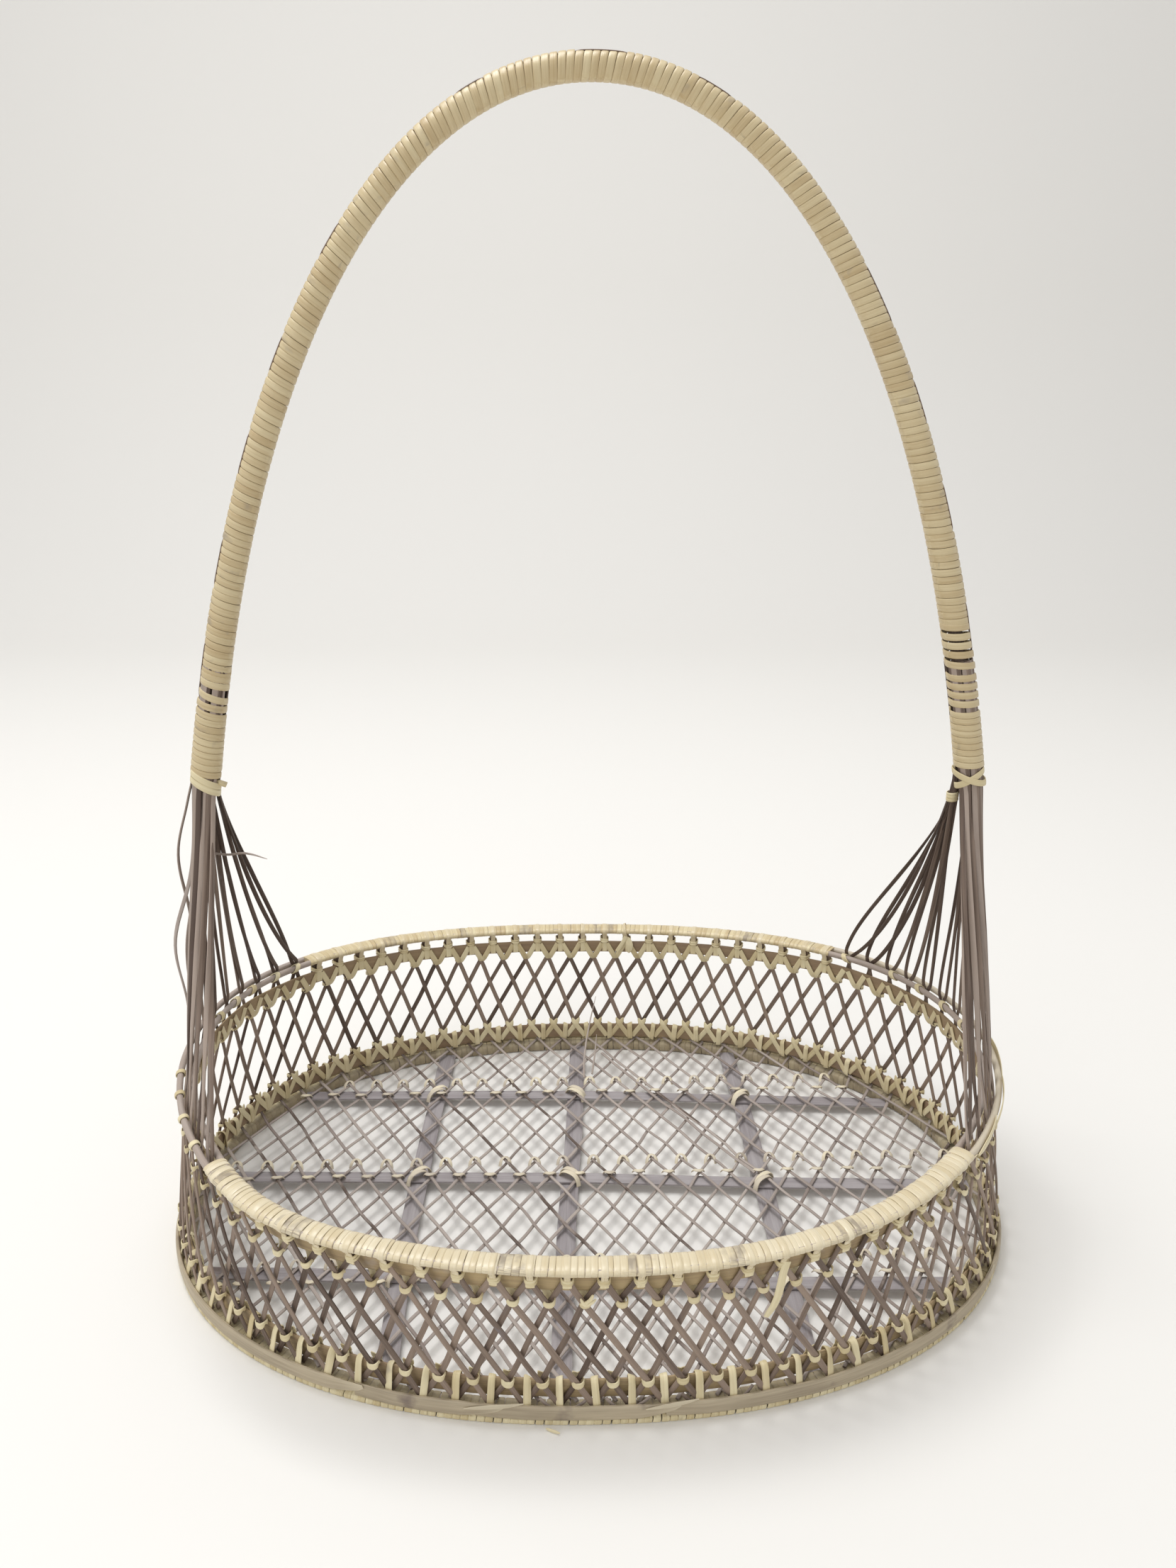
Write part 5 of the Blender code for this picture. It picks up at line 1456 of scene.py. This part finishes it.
def weave_loose_ends():
    """Splinters, loose strap ends and frayed canes that stand away from the weave."""
    splinters = Weave("splinters", "splinter", "stake")
    for points in SPLINTERS:
        path = polyline(np.array(points) * MM, 1.5 * MM, 3)
        taper = 1 - 0.75 * np.linspace(0, 1, len(path)) ** 3
        splinters.cane(path, SPLINTER_FACE, SPLINTER_WIDTH * taper, SPLINTER_THICKNESS * taper, OVAL,
                       tone=0.3)
    for node, lean in FRAYED_CANES:
        stops = [(node, 11.5 * MM, 0.2 * MM), (node + lean * 0.5, 9.0 * MM, 0.9 * MM),
                 (node + lean, 7.4 * MM, 1.4 * MM)]
        path, outward = on_wall(route(stops, 1.0 * MM, 1))
        splinters.cane(path, outward, FRAYED_WIDTH, FRAYED_THICKNESS, OVAL, tone=0.7, stain=0.6)
    splinters.make()
    straps = Weave("loose_straps", "lacing", "pale_cane")
    for *stops, width, taper in LOOSE_STRAPS:
        stops = [(node, height * MM, offset * MM) for node, height, offset in stops]
        path, outward = on_wall(route(stops, 0.8 * MM, 2))
        share = np.linspace(0, 1, len(path))
        ends = 1 - taper * (np.abs(2 * share - 1) ** 3 if taper > 0.5 else share ** 8)
        inner = -1 if stops[0][2] < 0 else 1
        straps.cane(path, outward * inner, width * MM * ends, LOOSE_STRAP_THICKNESS, CROWNED, tone=0.1)
    stub = polyline(np.array(STUB) * MM, 0.6 * MM, 1)
    straps.cane(stub, -TO_BACK, STUB_WIDTH, STUB_THICKNESS, ROUND, tone=0.8, stain=0.5)
    straps.make()


CAMERA_PLACE = (-20.65 * MM, -568.18 * MM, 424.05 * MM)
CAMERA_TURN = (72.32, -0.143, -1.864)
FOCAL_LENGTH_PIXELS = 1660
IMAGE_HEIGHT_PIXELS = 2212
SENSOR_HEIGHT = 24.0


def set_camera():
    """Camera at the photograph's viewing angle."""
    lens = bpy.data.cameras.new("camera")
    lens.sensor_fit = "VERTICAL"
    lens.sensor_height = SENSOR_HEIGHT
    lens.lens = SENSOR_HEIGHT * FOCAL_LENGTH_PIXELS / IMAGE_HEIGHT_PIXELS
    lens.clip_start = 0.01
    camera = bpy.data.objects.new("camera", lens)
    camera.location = CAMERA_PLACE
    camera.rotation_euler = [math.radians(angle) for angle in CAMERA_TURN]
    bpy.context.collection.objects.link(camera)
    bpy.context.scene.camera = camera


# Floor and backdrop, in metres
FLOOR_FRONT = -2.4
FLOOR_REACH = 1.6
FLOOR_BEND = 0.7
FLOOR_HALF_WIDTH = 4.0
BACKDROP_TOP = 3.0


def set_floor():
    """Pale floor that curves up into a backdrop."""
    arc = [(FLOOR_REACH + FLOOR_BEND * math.sin(angle), FLOOR_BEND - FLOOR_BEND * math.cos(angle))
           for angle in np.linspace(0, math.pi / 2, 13)]
    profile = [(FLOOR_FRONT, 0.0), (0.0, 0.0)] + arc + [(FLOOR_REACH + FLOOR_BEND, BACKDROP_TOP)]
    points = [(x, y, z) for x in (-FLOOR_HALF_WIDTH, FLOOR_HALF_WIDTH) for y, z in profile]
    count = len(profile)
    faces = [(i, count + i, count + i + 1, i + 1) for i in range(count - 1)]
    mesh = bpy.data.meshes.new("floor")
    mesh.from_pydata(points, [], faces)
    mesh.polygons.foreach_set("use_smooth", np.ones(len(faces), bool))
    material = bpy.data.materials.new("pale_floor")
    material.use_nodes = True
    coat = Nodes(material.node_tree)
    place = coat.node("ShaderNodeTexCoord", {}, {}, "Object")
    mottle = coat.noise(place, 3.0, 2.0)
    shade = coat.mix(mottle * 0.06, tint("floor"), tuple(0.9 * value for value in tint("floor")[:3]) + (1.0,))
    shader = coat.node("ShaderNodeBsdfPrincipled", {}, {"Base Color": shade, "Roughness": 0.9})
    coat.node("ShaderNodeOutputMaterial", {}, {0: shader})
    mesh.materials.append(material)
    floor = bpy.data.objects.new("floor", mesh)
    bpy.context.collection.objects.link(floor)


# Lamps: place in metres, breadth in metres and power in watts
LAMPS = {"key": ((-0.5, 0.2, 2.4), 1.3, 36.0), "fill": ((-1.4, -1.8, 1.5), 1.8, 10.0)}
LAMP_AIM = (0, 0, 0.2)


def set_light(name, place, aim, breadth, power):
    """One soft square lamp aimed at a point."""
    lamp = bpy.data.lights.new(name, "AREA")
    lamp.size = breadth
    lamp.energy = power
    holder = bpy.data.objects.new(name, lamp)
    holder.location = place
    away = np.array(place) - np.array(aim)
    flat = math.hypot(away[0], away[1])
    holder.rotation_euler = (math.atan2(flat, away[2]), 0, math.atan2(away[0], -away[1]))
    bpy.context.collection.objects.link(holder)


def set_world():
    """Even studio surround: soft light on the object, white where the camera or a reflection sees it."""
    world = bpy.data.worlds.new("studio")
    world.use_nodes = True
    surround = Nodes(world.node_tree)
    seen = surround.node("ShaderNodeLightPath", {}, {}, "Is Camera Ray")
    rays = seen.socket.node.outputs
    glossy, through = (Wire(surround, rays[name]) for name in ("Is Glossy Ray", "Is Transmission Ray"))
    direct = (seen + glossy + through).limited()
    soft = surround.node("ShaderNodeBackground", {}, {"Color": (1.0, 1.0, 1.0, 1.0), "Strength": 0.6})
    white = surround.node("ShaderNodeBackground", {}, {"Color": (1.0, 1.0, 1.0, 1.0), "Strength": 1.0})
    both = surround.node("ShaderNodeMixShader", {}, {0: direct, 1: soft, 2: white})
    surround.node("ShaderNodeOutputWorld", {}, {0: both})
    bpy.context.scene.world = world


class BASKET_OT_foot(Operator):
    """Weave the foot winding and the strip round it"""

    bl_idname = "basket.foot"
    bl_label = "Foot"

    def execute(self, context):
        weave_foot_winding()
        weave_foot_strip()
        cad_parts["foot_hoop"].data.materials.clear()
        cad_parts["foot_hoop"].data.materials.append(finish("rod"))
        return {"FINISHED"}


class BASKET_OT_bands(Operator):
    """Lay the two flat bands"""

    bl_idname = "basket.bands"
    bl_label = "Bands"

    def execute(self, context):
        weave_bands()
        return {"FINISHED"}


class BASKET_OT_lacing(Operator):
    """Lace both bands and tie the crossings"""

    bl_idname = "basket.lacing"
    bl_label = "Lacing"

    def execute(self, context):
        weave_upper_lacing()
        weave_lower_lacing()
        return {"FINISHED"}


class BASKET_OT_rim(Operator):
    """Set the rim rods and wind them"""

    bl_idname = "basket.rim"
    bl_label = "Rim"

    def execute(self, context):
        weave_rods()
        weave_rod_ties()
        weave_rim_windings()
        return {"FINISHED"}


class BASKET_OT_wall(Operator):
    """Weave the wall canes and their fans"""

    bl_idname = "basket.wall"
    bl_label = "Wall"

    def execute(self, context):
        weave_wall()
        return {"FINISHED"}


class BASKET_OT_base(Operator):
    """Weave the base canes, slats, knots, lashings and loose ends"""

    bl_idname = "basket.base"
    bl_label = "Base"

    def execute(self, context):
        weave_base()
        weave_slats()
        weave_knots()
        weave_lashings()
        weave_loose_ends()
        return {"FINISHED"}


class BASKET_OT_handle(Operator):
    """Wind the handle"""

    bl_idname = "basket.handle"
    bl_label = "Handle"

    def execute(self, context):
        weave_handle_core()
        weave_handle_winding()
        weave_handle_feet()
        weave_side_tie()
        weave_runner()
        return {"FINISHED"}


class BASKET_OT_stage(Operator):
    """Set the floor, the light and the camera"""

    bl_idname = "basket.stage"
    bl_label = "Stage"

    def execute(self, context):
        set_camera()
        set_floor()
        set_world()
        for name, (place, breadth, power) in LAMPS.items():
            set_light(name, place, LAMP_AIM, breadth, power)
        bpy.context.scene.view_settings.view_transform = "Standard"
        return {"FINISHED"}


STEPS = (BASKET_OT_stage, BASKET_OT_foot, BASKET_OT_bands, BASKET_OT_rim, BASKET_OT_lacing, BASKET_OT_wall,
         BASKET_OT_base, BASKET_OT_handle)


class BASKET_PT_steps(Panel):
    """Buttons for every step of the basket"""

    bl_label = "Basket"
    bl_idname = "BASKET_PT_steps"
    bl_space_type = "VIEW_3D"
    bl_region_type = "UI"
    bl_category = "Basket"

    def draw(self, context):
        for step in STEPS:
            self.layout.operator(step.bl_idname)


CLASSES = (BasketSizes, BasketColours, *STEPS, BASKET_PT_steps)


def register():
    """Registers the classes and the settings that they read."""
    for item in CLASSES:
        bpy.utils.register_class(item)
    bpy.types.Scene.basket_sizes = PointerProperty(type=BasketSizes)
    bpy.types.Scene.basket_colours = PointerProperty(type=BasketColours)


def unregister():
    """Takes back what register added."""
    del bpy.types.Scene.basket_colours
    del bpy.types.Scene.basket_sizes
    for item in reversed(CLASSES):
        bpy.utils.unregister_class(item)


def main():
    """Builds the whole basket."""
    register()
    for step in STEPS:
        group, name = step.bl_idname.split(".")
        getattr(getattr(bpy.ops, group), name)()


if __name__ == "__main__":
    main()
